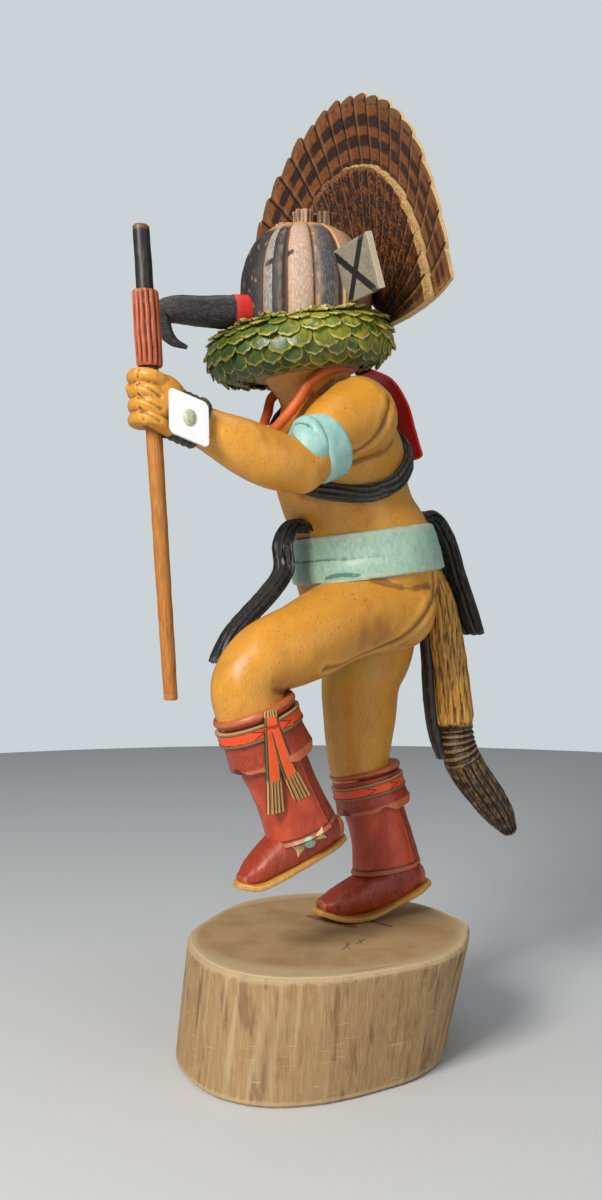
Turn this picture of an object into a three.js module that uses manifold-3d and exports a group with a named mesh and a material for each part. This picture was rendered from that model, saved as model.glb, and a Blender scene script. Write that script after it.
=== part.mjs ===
// A carved and painted dancer doll on a slice of log, in millimetres, +Z up.
// The doll faces -Y and its left side is +X. The origin is the middle of the log's underside.
import * as THREE from "three";
import { mergeVertices } from "three/addons/utils/BufferGeometryUtils.js";
import Module from "manifold-3d";

// Log slice
const baseHeight = 43.5;
const baseRadius = 54;
const baseRim = 1.4;
const baseLean = 4.5;
const baseTaper = 5;
const baseColumns = 30;

// Carved figure, from its soles to the top of its mask
const figureHeight = 269.4;
const drawnHeight = 269.4;

// Staff
const staffRadius = 2.5;
const tipRadius = 2.9;
const gripRadius = 4.5;
const staffLength = 157;
const tipLength = 21.5;
const gripLength = 25;
const fluteDepth = 0.7;

// Feather fan
const fanBehindRuff = 32;
const fanAboveRuff = 9.2;
const fanRadius = 84.5;
const fanInnerRadius = 60;
const fanBack = 1.9;
const fanFront = 1.9;
const fanDishSide = 13.8;
const fanDishTop = 5.8;
const fanLean = 0.158;
const fanSpread = 91;
const featherCount = 24;
const featherNotch = 1.7;

// Ruff of leaves
const ruffRadius = 26.3;
const ruffDepth = 11.2;
const ruffTilt = 9;
const leafColumns = 18;
const leafRows = 8;
const leafRelief = 1.5;

// Mask
const maskLobe = 24;
const lobeGroove = 1.3;
const pegRadius = 3.7;
const pegHeight = 8;
const earWidth = 22.8;
const earHeight = 19.5;
const earThickness = 2.4;
const earTilt = 16;
const earSink = 4;
const earAboveMiddle = 4;
const earBehindMiddle = 4.3;
const beakRadius = 6.1;
const beakLength = 33;

// Bands, straps and ties
const beltProud = 1.6;
const strapWidth = 6.2;
const strapThickness = 4.2;
const cordRadius = 1.9;
const armbandProud = 1.2;
const guardProud = 0.9;
const plateLength = 14;
const plateHeight = 15;
const plateDrop = 1.9;
const plateThickness = 1.3;
const plateCorner = 2;
const stoneSizes = [2.2, 2.9, 1.2];
const sashWidth = 15;
const sashThickness = 5.2;
const sashStrands = 3;
const ribbonWidth = 13;
const ribbonThickness = 1.8;
const soleThickness = 2.6;

// What lies against another piece, or passes through it, keeps this clearance
const gap = 0.3;

const wasm = await Module();
wasm.setup();

// Pose points are drawn on a figure of the drawn height and grow with the real one.
const scale = figureHeight / drawnHeight;
const at = ([x, y, h]) => new THREE.Vector3(x, y, h).multiplyScalar(scale);
const degrees = THREE.MathUtils.degToRad;
const lateral = new THREE.Vector3(1, 0, 0);
const upright = new THREE.Vector3(0, 0, 1);

function solidOf(geometry) {
  const bare = geometry.clone();
  bare.deleteAttribute("normal");
  bare.deleteAttribute("uv");
  const merged = mergeVertices(bare);
  const vertProperties = new Float32Array(merged.attributes.position.array);
  const triVerts = new Uint32Array(merged.index.array);
  return new wasm.Manifold(new wasm.Mesh({ numProp: 3, vertProperties, triVerts }));
}

function joined(solids) {
  return solids.reduce((sum, next) => sum.add(next));
}

function geometryOf(solid) {
  const mesh = solid.getMesh();
  const geometry = new THREE.BufferGeometry();
  const positions = new Float32Array(mesh.vertProperties);
  geometry.setAttribute("position", new THREE.BufferAttribute(positions, 3));
  geometry.setIndex(new THREE.BufferAttribute(new Uint32Array(mesh.triVerts), 1));
  geometry.computeVertexNormals();
  return geometry;
}

// The column of a cylinder's vertex, counted round its axis from the side that faces the front.
function columnOf(vertex, sides) {
  return (Math.round((Math.atan2(vertex.x, vertex.z) / (2 * Math.PI)) * sides) + sides) % sides;
}

// Moves each vertex of a geometry to where place(vertex) says.
function reshaped(geometry, place) {
  const position = geometry.attributes.position;
  const vertex = new THREE.Vector3();
  for (let i = 0; i < position.count; i += 1) {
    const moved = place(vertex.fromBufferAttribute(position, i));
    position.setXYZ(i, moved.x, moved.y, moved.z);
  }
  return geometry;
}

// A limb: rings along a smooth path through stations [x, y, height, half width, half depth].
// Width runs along side, and round gives the length of a domed end, or 0 for a flat one.
function limb(stations, shape = {}, grow = 0) {
  const { side = lateral, sides = 12, rows = 8, round = [0, 0], square = 2 } = shape;
  const { carve = () => 0, hem = () => 0, domeRows = 2 } = shape;
  const domeAngle = degrees(domeRows > 1 ? 74 : 60);
  const path = new THREE.CatmullRomCurve3(stations.map(at), false, "centripetal");
  const sizes = stations.map(([, , , width, depth]) => new THREE.Vector3(width, depth, 0));
  const size = new THREE.CatmullRomCurve3(sizes, false, "catmullrom", 0.5);
  const rings = [];
  const dome = (end, along) => {
    const length = round[end] * scale + grow;
    for (let i = domeRows; i > 0; i -= 1) {
      const angle = (domeAngle * i) / domeRows;
      rings.push({ along, shift: length * Math.sin(angle) * (end ? 1 : -1), fill: Math.cos(angle) });
    }
  };
  if (round[0]) dome(0, 0);
  for (let i = 0; i <= rows; i += 1) {
    const flatEnd = (i === 0 && !round[0] ? -grow : 0) + (i === rows && !round[1] ? grow : 0);
    rings.push({ along: i / rows, shift: flatEnd, fill: 1 });
  }
  if (round[1]) {
    const last = rings.length;
    dome(1, 1);
    rings.push(...rings.splice(last).reverse());
  }
  const frames = rings.map(({ along, shift, fill }) => {
    const tangent = path.getTangent(along);
    const across = side.clone().addScaledVector(tangent, -side.dot(tangent)).normalize();
    const other = across.clone().cross(tangent);
    const radii = size.getPoint(along).multiplyScalar(scale).addScalar(grow);
    return { along, shift, fill, tangent, across, other, radii, centre: path.getPoint(along) };
  });
  return reshaped(new THREE.CylinderGeometry(1, 1, 1, sides, frames.length - 1), (vertex) => {
    const frame = frames[Math.round((vertex.y + 0.5) * (frames.length - 1))];
    const angle = Math.PI / 2 - (2 * Math.PI * columnOf(vertex, sides)) / sides;
    const [c, s] = [Math.cos(angle), Math.sin(angle)];
    const reach = (Math.abs(c) ** square + Math.abs(s) ** square) ** (-1 / square);
    const radius = vertex.x || vertex.z ? Math.hypot(vertex.x, vertex.z) * reach * frame.fill : 0;
    const cut = carve(angle, frame.along) * scale;
    const lift = frame.along === 1 && radius > 0 ? hem(angle) * scale : 0;
    return frame.centre
      .clone()
      .addScaledVector(frame.tangent, frame.shift + lift)
      .addScaledVector(frame.across, radius * (frame.radii.x + cut) * c)
      .addScaledVector(frame.other, radius * (frame.radii.y + cut) * s);
  });
}

// A closed band along a loop of points in millimetres: width lies along the body, thickness stands off it.
function band(points, centreOf, width, thickness, shape = {}, grow = 0) {
  const { sides = 6, turns = 32, carve = () => 0 } = shape;
  const loop = new THREE.CatmullRomCurve3(points, true, "centripetal");
  const frames = Array.from({ length: turns }, (_, i) => {
    const along = i / turns;
    const centre = loop.getPoint(along);
    const tangent = loop.getTangent(along);
    const outward = centre.clone().sub(centreOf(centre));
    outward.addScaledVector(tangent, -outward.dot(tangent)).normalize();
    return { centre, outward, across: outward.clone().cross(tangent) };
  });
  return reshaped(new THREE.TorusGeometry(2, 1, sides, turns), (vertex) => {
    const around = Math.atan2(vertex.y, vertex.x) / (2 * Math.PI);
    const section = Math.atan2(vertex.z, Math.hypot(vertex.x, vertex.y) - 2) / (2 * Math.PI);
    const turn = (Math.round(around * turns) + turns) % turns;
    const step = (Math.round(section * sides) + sides) % sides;
    const angle = (2 * Math.PI * step) / sides;
    const { centre, outward, across } = frames[turn];
    const relief = grow + carve(turn, step);
    return centre
      .clone()
      .addScaledVector(outward, (thickness / 2 + relief) * Math.cos(angle))
      .addScaledVector(across, (width / 2 + relief) * Math.sin(angle));
  });
}

// An oval lump with its thin axis along facing, and its upright axis rolled by some degrees.
function lump(centre, [wide, high, proud], facing, shape = {}, grow = 0) {
  const { sides = 10, rows = 6, roll = 0 } = shape;
  const normal = new THREE.Vector3(...facing).normalize();
  const across = upright.clone().cross(normal).normalize();
  const basis = new THREE.Matrix4().makeBasis(across, normal.clone().cross(across), normal);
  const sizes = [wide, high, proud].map((size) => size * scale + grow);
  const geometry = new THREE.SphereGeometry(1, sides, rows).scale(...sizes).rotateZ(degrees(roll));
  return geometry.applyMatrix4(basis.setPosition(at(centre)));
}

// Body

const torsoStations = [
  [0, 18, 116, 20, 20],
  [0, 17.6, 125, 27, 25],
  [0, 17, 135, 30, 27],
  [0, 16.4, 144, 29, 25.8],
  [0, 11.6, 154.5, 26.2, 24],
  [0, 9.2, 160, 26, 23.8],
  [0, 6, 169, 26.5, 24.2],
  [0, 3.8, 180, 28.5, 24.6],
  [0, 0.8, 191, 27, 20.8],
  [0, -3, 199.5, 20, 16.5],
  [0, -4.6, 203.5, 15, 14.2],
  [0, -7, 210, 16.5, 16],
  [0, -9, 217, 21, 21],
];

function torso(grow) {
  return solidOf(limb(torsoStations, { sides: 16, rows: 10 }, grow));
}

// A point on the torso's skin at a height and a bearing, 0 at the doll's left and 90 at its back.
function torsoSkin(height, bearing) {
  const found = torsoStations.findIndex(([, , h]) => h > height);
  const [low, high] = [torsoStations[found - 1], torsoStations[found]];
  const share = (height - low[2]) / (high[2] - low[2]);
  const [x, y, h, width, depth] = low.map((value, i) => value + (high[i] - value) * share);
  return at([x + width * Math.cos(bearing), y + depth * Math.sin(bearing), h]);
}

function torsoCentre(point) {
  const path = torsoStations.map(at);
  const found = path.findIndex((station) => station.z > point.z);
  const [low, high] = [path[Math.max(found - 1, 0)], path[Math.max(found, 1)]];
  return low.clone().lerp(high, (point.z - low.z) / (high.z - low.z));
}

function belt(grow) {
  const stations = [
    [0, 18, 134.4, 29.8 + beltProud, 27 + beltProud],
    [0, 16.6, 143, 29.2 + beltProud, 26.1 + beltProud],
    [0, 13.6, 151.8, 27.2 + beltProud, 24.8 + beltProud],
  ];
  return solidOf(limb(stations, { sides: 16, rows: 2 }, grow));
}

// The strap runs over the right shoulder and under the left arm.
function bandolier(grow) {
  const middle = 183.5;
  const rise = 20;
  const lowBearing = degrees(-22);
  const steps = 18;
  const points = Array.from({ length: steps }, (_, i) => {
    const bearing = (2 * Math.PI * i) / steps;
    const point = torsoSkin(middle - rise * Math.cos(bearing - lowBearing), bearing);
    const outward = point.clone().sub(torsoCentre(point)).setZ(0).normalize();
    return point.addScaledVector(outward, strapThickness * 0.4);
  });
  return solidOf(band(points, torsoCentre, strapWidth, strapThickness, { sides: 5, turns: 18 }, grow));
}

// The neck cord hangs to a point on the chest, with one small shell there.
function neckCord(grow) {
  const half = [
    [9.5, -22.4, 191.5],
    [14.2, -18.6, 198],
    [16.8, -15.8, 204],
    [17, -9.5, 208.5],
    [13.8, -1, 211.5],
    [7, 6.5, 213],
  ];
  const other = half.map(([x, y, h]) => [-x, y, h]).reverse();
  const loop = [[0, -24.8, 187.3], ...half, ...other].map(at);
  const centreOf = (point) => at([0, -8, point.z / scale]);
  const cord = band(loop, centreOf, 2 * cordRadius, 2 * cordRadius, { sides: 4, turns: 16 }, grow);
  const shell = lump([2, -25.8, 188.4], [1.9, 1.7, 1.5], [0.5, -1, 0], { sides: 6, rows: 4 }, grow);
  return solidOf(cord).add(solidOf(shell));
}

// Legs and boots

function raisedLeg(grow) {
  const stations = [
    [13, 22, 122.2, 17, 16.4],
    [19.4, -3, 118.2, 15.4, 15.2],
    [24, -22, 110.2, 14.2, 14.5],
    [25, -37.2, 104, 12.9, 13.2],
    [25, -43.8, 96, 12.2, 12.2],
    [25, -42, 87.5, 12.2, 12.6],
    [25, -38.5, 80, 11.8, 12.2],
  ];
  return solidOf(limb(stations, { sides: 12, rows: 8, round: [14, 0] }, grow));
}

function standingLeg(grow) {
  const stations = [
    [-12.5, 26.5, 128, 16.5, 17.2],
    [-13, 25.3, 107, 16.6, 18],
    [-13, 21.4, 93, 15, 16],
    [-13, 20.7, 79, 13.8, 14.8],
    [-13, 20.3, 69, 12.8, 13.6],
    [-13, 20.4, 61, 12, 12.4],
    [-12.8, 22.5, 53, 11.8, 12],
  ];
  return solidOf(limb(stations, { sides: 12, rows: 5 }, grow));
}

const leftBoot = {
  shaft: [
    [25, -36.4, 75.6, 12.6, 13],
    [25.3, -33.5, 69, 12.2, 12.5],
    [25.6, -29.8, 61, 11.6, 12],
    [26, -26.2, 52.6, 11.9, 12.4],
    [26, -22.8, 44.6, 12.8, 13.5],
  ],
  cuff: [
    [25, -41.2, 88.4, 14, 14.3],
    [25.1, -37.4, 78.6, 14, 14.4],
    [25.2, -34.2, 71, 14, 14.6],
  ],
  tie: [
    [25, -39.8, 84.4, 14.9, 15.3],
    [25.1, -38, 79.6, 14.9, 15.3],
  ],
  upper: [
    [26, -11.4, 44.4, 6.6, 4.8],
    [26, -17, 43.6, 8, 7.8],
    [26, -25, 41, 8.4, 8.4],
    [26, -34, 35.6, 8.6, 6.4],
    [26, -41, 31.2, 7.2, 4.4],
    [26, -45, 28.8, 4.6, 2.6],
  ],
  sole: [
    [26, -8.4, 40.4, 5.2],
    [26, -13, 38.4, 7.9],
    [26, -22, 34.5, 8.4],
    [26, -34, 29.8, 9.5],
    [26, -42, 26.8, 7.8],
    [26, -47, 27.2, 3.8],
  ],
  knot: [39.6, -41.4, 84.6],
  tassels: [
    [[39.8, -41.4, 82], [38.2, -39.4, 68], [36.2, -37.6, 53]],
    [[39.8, -39.6, 82], [38.6, -34.4, 69], [36.4, -27.6, 57]],
  ],
  stone: [33, -23.6, 41],
};

const rightBoot = {
  shaft: [
    [-12.1, 25.4, 47, 12.3, 12.7],
    [-11.5, 27, 41, 11.8, 12.3],
    [-10.3, 29.8, 30, 12.2, 12.8],
    [-9.4, 31.5, 18.6, 13.2, 14.4],
  ],
  cuff: [
    [-13, 22.9, 58.2, 13.5, 13.7],
    [-12.5, 24.4, 51, 13.5, 14],
    [-11.7, 26.4, 43.4, 13.6, 14.2],
  ],
  tie: [
    [-12.7, 23.9, 53.6, 14.4, 14.6],
    [-12.3, 25, 48.8, 14.4, 14.6],
  ],
  upper: [
    [-7.8, 42.6, 15.4, 6.6, 5],
    [-8.2, 36, 14.4, 8, 8],
    [-8.8, 27, 11.4, 8.4, 8.6],
    [-9.4, 17, 8.4, 8.6, 6.8],
    [-10, 8, 6, 7.6, 4.8],
    [-10.3, 3, 5.6, 4.8, 2.8],
  ],
  sole: [
    [-7.5, 47.4, 11.2, 5],
    [-7.9, 42, 9, 7.8],
    [-8.6, 32, 5.4, 8.4],
    [-9.2, 20, 1.5, 9.5],
    [-9.8, 9, 1.3, 8.8],
    [-10.2, 1, 3.6, 4.6],
  ],
  knot: [-26.8, 25.6, 52],
  tassels: [
    [[-27, 26.4, 49], [-26.2, 28, 38], [-24.6, 30, 26]],
    [[-26.8, 27.4, 49], [-25.4, 32, 40], [-23.4, 37, 31]],
  ],
  stone: [-15.8, 31, 13],
};

function boot({ shaft, cuff, tie, upper, sole, knot, tassels, stone }, grow) {
  const outside = Math.sign(knot[0]);
  const ragged = (angle) => 1.6 * Math.sin(5 * angle) + 1.1 * Math.sin(2 * angle + 1);
  const treads = sole.map((station) => [...station, soleThickness / 2 / scale]);
  const facing = [outside, 0, 0];
  const strips = tassels.map((points) => {
    const stations = points.map((point, i) => [...point, 1.9 + 0.7 * i, 1.1]);
    return limb(stations, { side: new THREE.Vector3(0, 1, 0.2), sides: 4, rows: 2 }, grow);
  });
  const pieces = [
    limb(shaft, { sides: 12, rows: 2 }, grow),
    limb(cuff, { sides: 12, rows: 1, hem: ragged }, grow),
    limb(tie, { sides: 12, rows: 1 }, grow),
    limb(upper, { sides: 8, rows: 4, round: [4, 2], square: 2.4, domeRows: 1 }, grow),
    limb(treads, { sides: 8, rows: 4, round: [2, 1.6], square: 3.5, domeRows: 1 }, grow),
    lump(knot, [2.7, 2.3, 1.6], facing, { sides: 6, rows: 4 }, grow),
    lump(stone, [2, 2, 1.1], facing, { sides: 6, rows: 4 }, grow),
    ...strips,
  ];
  return joined(pieces.map(solidOf));
}

// Arms and hands

function leftArm(grow) {
  const upperArm = [
    [24.6, 0.6, 191.6, 14.4, 15],
    [29, -10.4, 186, 12, 12.6],
    [32.6, -20, 178.4, 10.2, 10.6],
    [34.4, -27, 171.4, 9, 9.2],
  ];
  const forearm = [
    [34.6, -27.5, 170.8, 9, 9.2],
    [35, -39, 173.2, 9.6, 10],
    [34, -50, 177.6, 8.8, 9.2],
    [32, -60, 182, 7, 7.4],
    [31, -67.5, 185, 6.5, 6.8],
    [30, -76, 188.4, 6.6, 7.6],
  ];
  const upperSolid = solidOf(limb(upperArm, { sides: 12, rows: 3, round: [13, 7.5] }, grow));
  return upperSolid.add(solidOf(limb(forearm, { sides: 12, rows: 4, round: [8.5, 0], domeRows: 1 }, grow)));
}

const wristStations = [
  [31.6, -62.4, 183.2, 7 + guardProud, 7.8 + guardProud],
  [30.4, -74.6, 188, 6.8 + guardProud, 8 + guardProud],
];
const plateFacing = new THREE.Vector3(0.98, -0.16, 0.08).normalize();

function wristBand(grow) {
  return solidOf(limb(wristStations, { sides: 12, rows: 1 }, grow));
}

function armband(grow) {
  const stations = [
    [31, -15, 180.4, 11 + armbandProud, 11.6 + armbandProud],
    [33, -23.4, 176, 9.8 + armbandProud, 10.6 + armbandProud],
  ];
  const wrap = solidOf(limb(stations, { sides: 12, rows: 1 }, grow));
  const tab = lump([36.6, -21.6, 182.6], [5.4, 9.6, 5.6], [0.76, -0.36, 0.54], { sides: 8, rows: 4, roll: 28 }, grow);
  return wrap.add(solidOf(tab));
}

// Four fingers and a thumb closed round a grip that passes the middle of the fist.
function fist(wrist, grip, fingerHeights, outside, grow) {
  const [x, y] = grip;
  const palm = [
    [...wrist, 6.2, 7.8],
    [x + outside * 2.6, (wrist[1] + y) / 2 - 0.6, (wrist[2] + grip[2]) / 2 + 0.4, 7.2, 9.2],
    [x + outside * 2, y - 2.2, grip[2] + 0.2, 7, 9.2],
  ];
  const fingers = fingerHeights.map((h) => [
    [x + outside * 4.6, y + 4.6, h - 3.6, 2.6, 3.4],
    [x + outside * 5.8, y - 2.4, h - 0.6, 2.8, 3.6],
    [x + outside * 1, y - 6.8, h, 2.8, 3.5],
    [x - outside * 4.8, y - 3, h - 0.3, 2.6, 3],
    [x - outside * 5, y + 2.4, h - 0.6, 2.5, 2.6],
  ]);
  const top = Math.max(...fingerHeights);
  const thumb = [
    [x - outside * 4.6, y + 7.5, top - 7, 2.8, 2.8],
    [x - outside * 7, y + 1, top - 4.4, 2.6, 2.7],
    [x - outside * 6.6, y - 5, top - 2.8, 2.2, 2.3],
  ];
  const pieces = [
    limb(palm, { sides: 8, rows: 2, square: 2.8 }, grow),
    ...fingers.map((finger) => limb(finger, { side: upright, sides: 6, rows: 3 }, grow)),
    limb(thumb, { side: upright, sides: 6, rows: 2 }, grow),
  ];
  return joined(pieces.map(solidOf));
}

const leftGrip = [28.6, -78.9, 191.6];

function leftFist(grow) {
  return fist([30.2, -74, 187.8], leftGrip, [198.6, 193.8, 189.3, 184.7], 1, grow);
}

// The right arm hangs at the side, with the hand closed.
function rightArm(grow) {
  const arm = [
    [-24, 0, 190.5, 14, 14.4],
    [-31.5, 6, 181, 11.6, 12],
    [-37.5, 13, 167, 9.8, 10.2],
    [-41, 18.5, 154, 8.8, 9.2],
    [-42.2, 18.6, 142, 8.4, 8.8],
    [-42.4, 17, 131, 7, 7.2],
    [-42.4, 15.8, 122, 6.2, 6.6],
  ];
  const hand = [
    [-42.4, 15.8, 122, 5.6, 6.8],
    [-42.2, 15.4, 116, 7, 8.8],
    [-42, 15, 107.5, 6.8, 8.4],
  ];
  const fingerGrooves = (angle, along) => (along > 0.5 ? 0.5 * Math.cos(6 * angle) : 0);
  const pieces = [
    limb(arm, { sides: 10, rows: 5, round: [13, 0] }, grow),
    limb(hand, { sides: 12, rows: 2, square: 2.8, carve: fingerGrooves }, grow),
  ];
  return joined(pieces.map(solidOf));
}

// Mask and ruff

// The front of the mask is cut into upright lobes, a double one at the beak and three on each side.
function lobeCut(angle) {
  const fromFront = Math.abs(((THREE.MathUtils.radToDeg(angle) + 450) % 360) - 180);
  if (fromFront > 4.2 * maskLobe) return 0;
  const within = fromFront < maskLobe ? fromFront / 2 + maskLobe / 2 : fromFront % maskLobe;
  const bulge = Math.sin((Math.PI * within) / maskLobe);
  return -lobeGroove * (1 - bulge) ** 2;
}

const maskMiddle = [0, -9.3, 238, 24.6, 25.2];

function maskBarrel(grow) {
  const stations = [
    [0, -8.2, 210, 19.5, 19.5],
    [0, -9.3, 218, 23, 23.4],
    [0, -9.3, 228, 24.2, 24.8],
    maskMiddle,
    [0, -9.7, 247, 24, 24.4],
    [0, -10.2, 254, 22.2, 22.2],
    [0, -10.6, 260, 18.4, 18.4],
    [0, -10.8, 264.2, 12.6, 12.6],
    [0, -10.8, 265.8, 6, 6],
  ];
  return solidOf(limb(stations, { sides: 30, rows: 7, carve: lobeCut }, grow));
}

// Rounded pegs of bare wood stand on the mask, two on each side.
function maskPegs(grow) {
  const places = [
    [8.2, -14],
    [9, -5.8],
    [-8.2, -14],
    [-9, -5.8],
  ];
  const pegs = places.map(([x, y]) => {
    const foot = [x, y, drawnHeight - pegHeight, pegRadius, pegRadius];
    const top = [x, y, drawnHeight, pegRadius * 0.92, pegRadius * 0.92];
    return limb([foot, top], { sides: 7, rows: 1 }, grow);
  });
  return joined(pegs.map(solidOf));
}

const ruffCentre = [0, -11.6, 219.8];

function ruff(grow) {
  const steps = 16;
  const tilt = new THREE.Quaternion().setFromAxisAngle(lateral, degrees(ruffTilt));
  const middle = at(ruffCentre);
  const points = Array.from({ length: steps }, (_, i) => {
    const angle = (2 * Math.PI * i) / steps;
    const spoke = new THREE.Vector3(Math.cos(angle), Math.sin(angle), 0);
    return spoke.multiplyScalar(ruffRadius).applyQuaternion(tilt).add(middle);
  });
  const leafTip = (turn, step) => step % 2 && (turn + (step - 1) / 2) % 2;
  const carve = (turn, step) => (leafTip(turn, step) ? leafRelief : 0) - leafRelief / 2;
  const thickness = 2 * ruffDepth;
  const shape = { sides: leafRows, turns: 2 * leafColumns, carve };
  return solidOf(band(points, () => middle, thickness, thickness, shape, grow));
}

function head(grow) {
  return maskBarrel(grow).add(maskPegs(grow)).add(ruff(grow));
}

// The staff leans back a little; its grip ends on top of the fist.
const staffLean = 0.066;

function staffStation(fromGrip, radius) {
  const run = fromGrip / Math.hypot(1, staffLean);
  return new THREE.Vector3(0, -staffLean * run, run).add(at(leftGrip)).toArray().concat(radius);
}

function staff(grow) {
  const gripFoot = 10.6 * scale;
  const gripTop = gripFoot + gripLength;
  const top = gripTop + tipLength;
  const rings = [
    [top - staffLength, staffRadius * 0.94, 0],
    [top - staffLength / 2, staffRadius * 1.04, 0],
    [gripFoot, staffRadius * 1.12, 0],
    [gripFoot, gripRadius * 0.96, 1],
    [(gripFoot + gripTop) / 2, gripRadius, 1],
    [gripTop, gripRadius * 0.96, 1],
    [gripTop, tipRadius, 0],
    [top, tipRadius * 0.97, 0],
  ];
  const flutes = 8;
  const sides = 2 * flutes;
  return solidOf(
    reshaped(new THREE.CylinderGeometry(1, 1, 1, sides, rings.length - 1), (vertex) => {
      const index = Math.round((vertex.y + 0.5) * (rings.length - 1));
      const [height, radius, fluted] = rings[index];
      const turn = columnOf(vertex, sides);
      const angle = Math.PI / 2 - (2 * Math.PI * turn) / sides;
      const cut = fluted && turn % 2 ? fluteDepth : 0;
      const end = index === 0 ? -grow : index === rings.length - 1 ? grow : 0;
      const [x, y, z, size] = staffStation(height + end, radius + grow - cut);
      const reach = vertex.x || vertex.z ? size : 0;
      return new THREE.Vector3(x + reach * Math.cos(angle), y - reach * Math.sin(angle), z);
    }),
  );
}

const figureParts = [
  torso,
  belt,
  bandolier,
  neckCord,
  raisedLeg,
  standingLeg,
  (grow) => boot(leftBoot, grow),
  (grow) => boot(rightBoot, grow),
  leftArm,
  armband,
  wristBand,
  leftFist,
  rightArm,
  head,
];

function figure(grow) {
  return joined(figureParts.map((part) => part(grow)));
}

// Pieces on the mask

function beak(grow) {
  const root = 27.5;
  const front = -33.5 * scale;
  const h = 230.6;
  const share = (part) => (front - beakLength * part) / scale;
  const wide = beakRadius / scale;
  const bill = [
    [0, -root, h + 1.6, wide * 0.92, wide * 0.95],
    [0, share(0.2), h + 0.2, wide * 0.96, wide],
    [0, share(0.55), h - 0.6, wide * 0.9, wide * 0.9],
    [0, share(0.85), h - 1, wide * 0.8, wide * 0.8],
    [0, share(1), h - 2.6, wide * 0.55, wide * 0.6],
    [0, share(0.97), h - 8, wide * 0.38, wide * 0.5],
    [0, share(0.86), h - 12.4, wide * 0.26, wide * 0.3],
    [0, share(0.7), h - 14.2, wide * 0.12, wide * 0.12],
  ];
  return solidOf(limb(bill, { sides: 9, rows: 9, square: 2.3 }, grow));
}

function earPlate(outside) {
  const [, y, h, width] = maskMiddle;
  const inner = width * scale - earSink;
  const box = new THREE.BoxGeometry(earWidth + earSink, earThickness, earHeight);
  box.rotateX(degrees(earTilt));
  const place = at([0, y + earBehindMiddle, h + earAboveMiddle]);
  const middle = place.setX(outside * (inner + (earWidth + earSink) / 2));
  return solidOf(box.translate(middle.x, middle.y, middle.z));
}

// The fan is a shallow dish of feathers in two layers, the short ones in front.
function fan(grow) {
  const rings = [fanRadius * 0.14, fanInnerRadius * 0.6, fanInnerRadius, fanInnerRadius + 0.6, fanRadius];
  const columns = 2 * featherCount;
  const root = at(ruffCentre).add(new THREE.Vector3(0, fanBehindRuff, fanAboveRuff));
  const last = rings.length - 1;
  const block = new THREE.BoxGeometry(1, 1, 1, columns, last, 1);
  return solidOf(
    reshaped(block, (vertex) => {
      const column = Math.round((vertex.x + 0.5) * columns);
      const row = Math.round((vertex.y + 0.5) * last);
      const front = vertex.z < 0;
      const angle = degrees(fanSpread) * ((2 * column) / columns - 1);
      const notched = column % 2 === 0 ? 1 : 0;
      const radius = rings[row] - (row > 1 ? featherNotch * notched : 0) + (row === last ? grow : 0);
      const x = radius * Math.sin(angle);
      const z = radius * Math.cos(angle);
      const dish = (fanDishSide * x * x + fanDishTop * z * z) / 73 ** 2 + fanLean * z;
      const layers = fanBack / 2 + (row < 3 ? fanFront : 0);
      const y = -dish + (front ? -layers - grow : fanBack / 2 + grow);
      return new THREE.Vector3(-x, y, z).add(root);
    }),
  );
}

// Hanging pieces

const strandGrooves = (angle) => -0.7 * (0.5 + 0.5 * Math.cos(2 * sashStrands * angle)) * Math.abs(Math.sin(angle));

function frontSash(grow) {
  const width = sashWidth / 2 / scale;
  const thick = sashThickness / 2 / scale;
  const stations = [
    [4, -9.6, 151.6, width * 0.8, thick * 0.8],
    [5, -17, 152.8, width * 0.8, thick * 0.9],
    [7, -21.8, 146.4, width * 0.86, thick],
    [9, -22.6, 136, width * 0.9, thick],
    [12, -30.4, 126.8, width, thick],
    [14, -38.6, 119.4, width, thick],
    [15.5, -45.6, 112.2, width, thick],
    [16.5, -50.8, 103.6, width, thick * 0.8],
  ];
  return solidOf(limb(stations, { sides: 12, rows: 6, square: 3, carve: strandGrooves }, grow));
}

function backSash(grow) {
  const width = sashWidth / 2 / scale;
  const thick = sashThickness / 2 / scale;
  const stations = [
    [2, 36.5, 155.4, width * 0.8, thick * 0.8],
    [2, 44, 158.2, width * 0.8, thick * 0.9],
    [2, 50.6, 150, width * 0.86, thick],
    [2, 55.4, 136, width * 0.9, thick],
    [2, 60, 123, width, thick],
    [2, 64.4, 111.6, width, thick * 0.8],
  ];
  return solidOf(limb(stations, { sides: 12, rows: 6, square: 3, carve: strandGrooves }, grow));
}

function foxPelt(grow) {
  const stations = [
    [0, 45, 136, 6.5, 4.5],
    [0, 49, 126, 7.4, 6],
    [0, 51.8, 110, 8.6, 7.6],
    [0, 54.4, 93, 8.8, 7.8],
    [0, 56.4, 77.6, 9, 8.2],
    [0, 57.2, 74.4, 7.6, 7],
    [0, 58.6, 66, 8.2, 7.4],
    [0, 63.4, 56.4, 8.4, 7.4],
    [0, 70.4, 47.6, 8, 7.2],
    [0, 78.6, 37.6, 6.6, 6],
    [0, 84, 30.4, 3.6, 3.4],
  ];
  const lining = [
    [-1.5, 43.6, 114, 2.6, 1.5],
    [-1.5, 45, 101, 3, 1.7],
    [-1.5, 46, 86, 3, 1.7],
    [-1.5, 48.6, 71, 3, 1.8],
    [-1.5, 52, 62, 2.6, 1.8],
  ];
  const body = solidOf(limb(stations, { sides: 10, rows: 9, round: [0, 2.4], domeRows: 1 }, grow));
  return body.add(solidOf(limb(lining, { sides: 6, rows: 4, square: 3 }, grow)));
}

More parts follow.
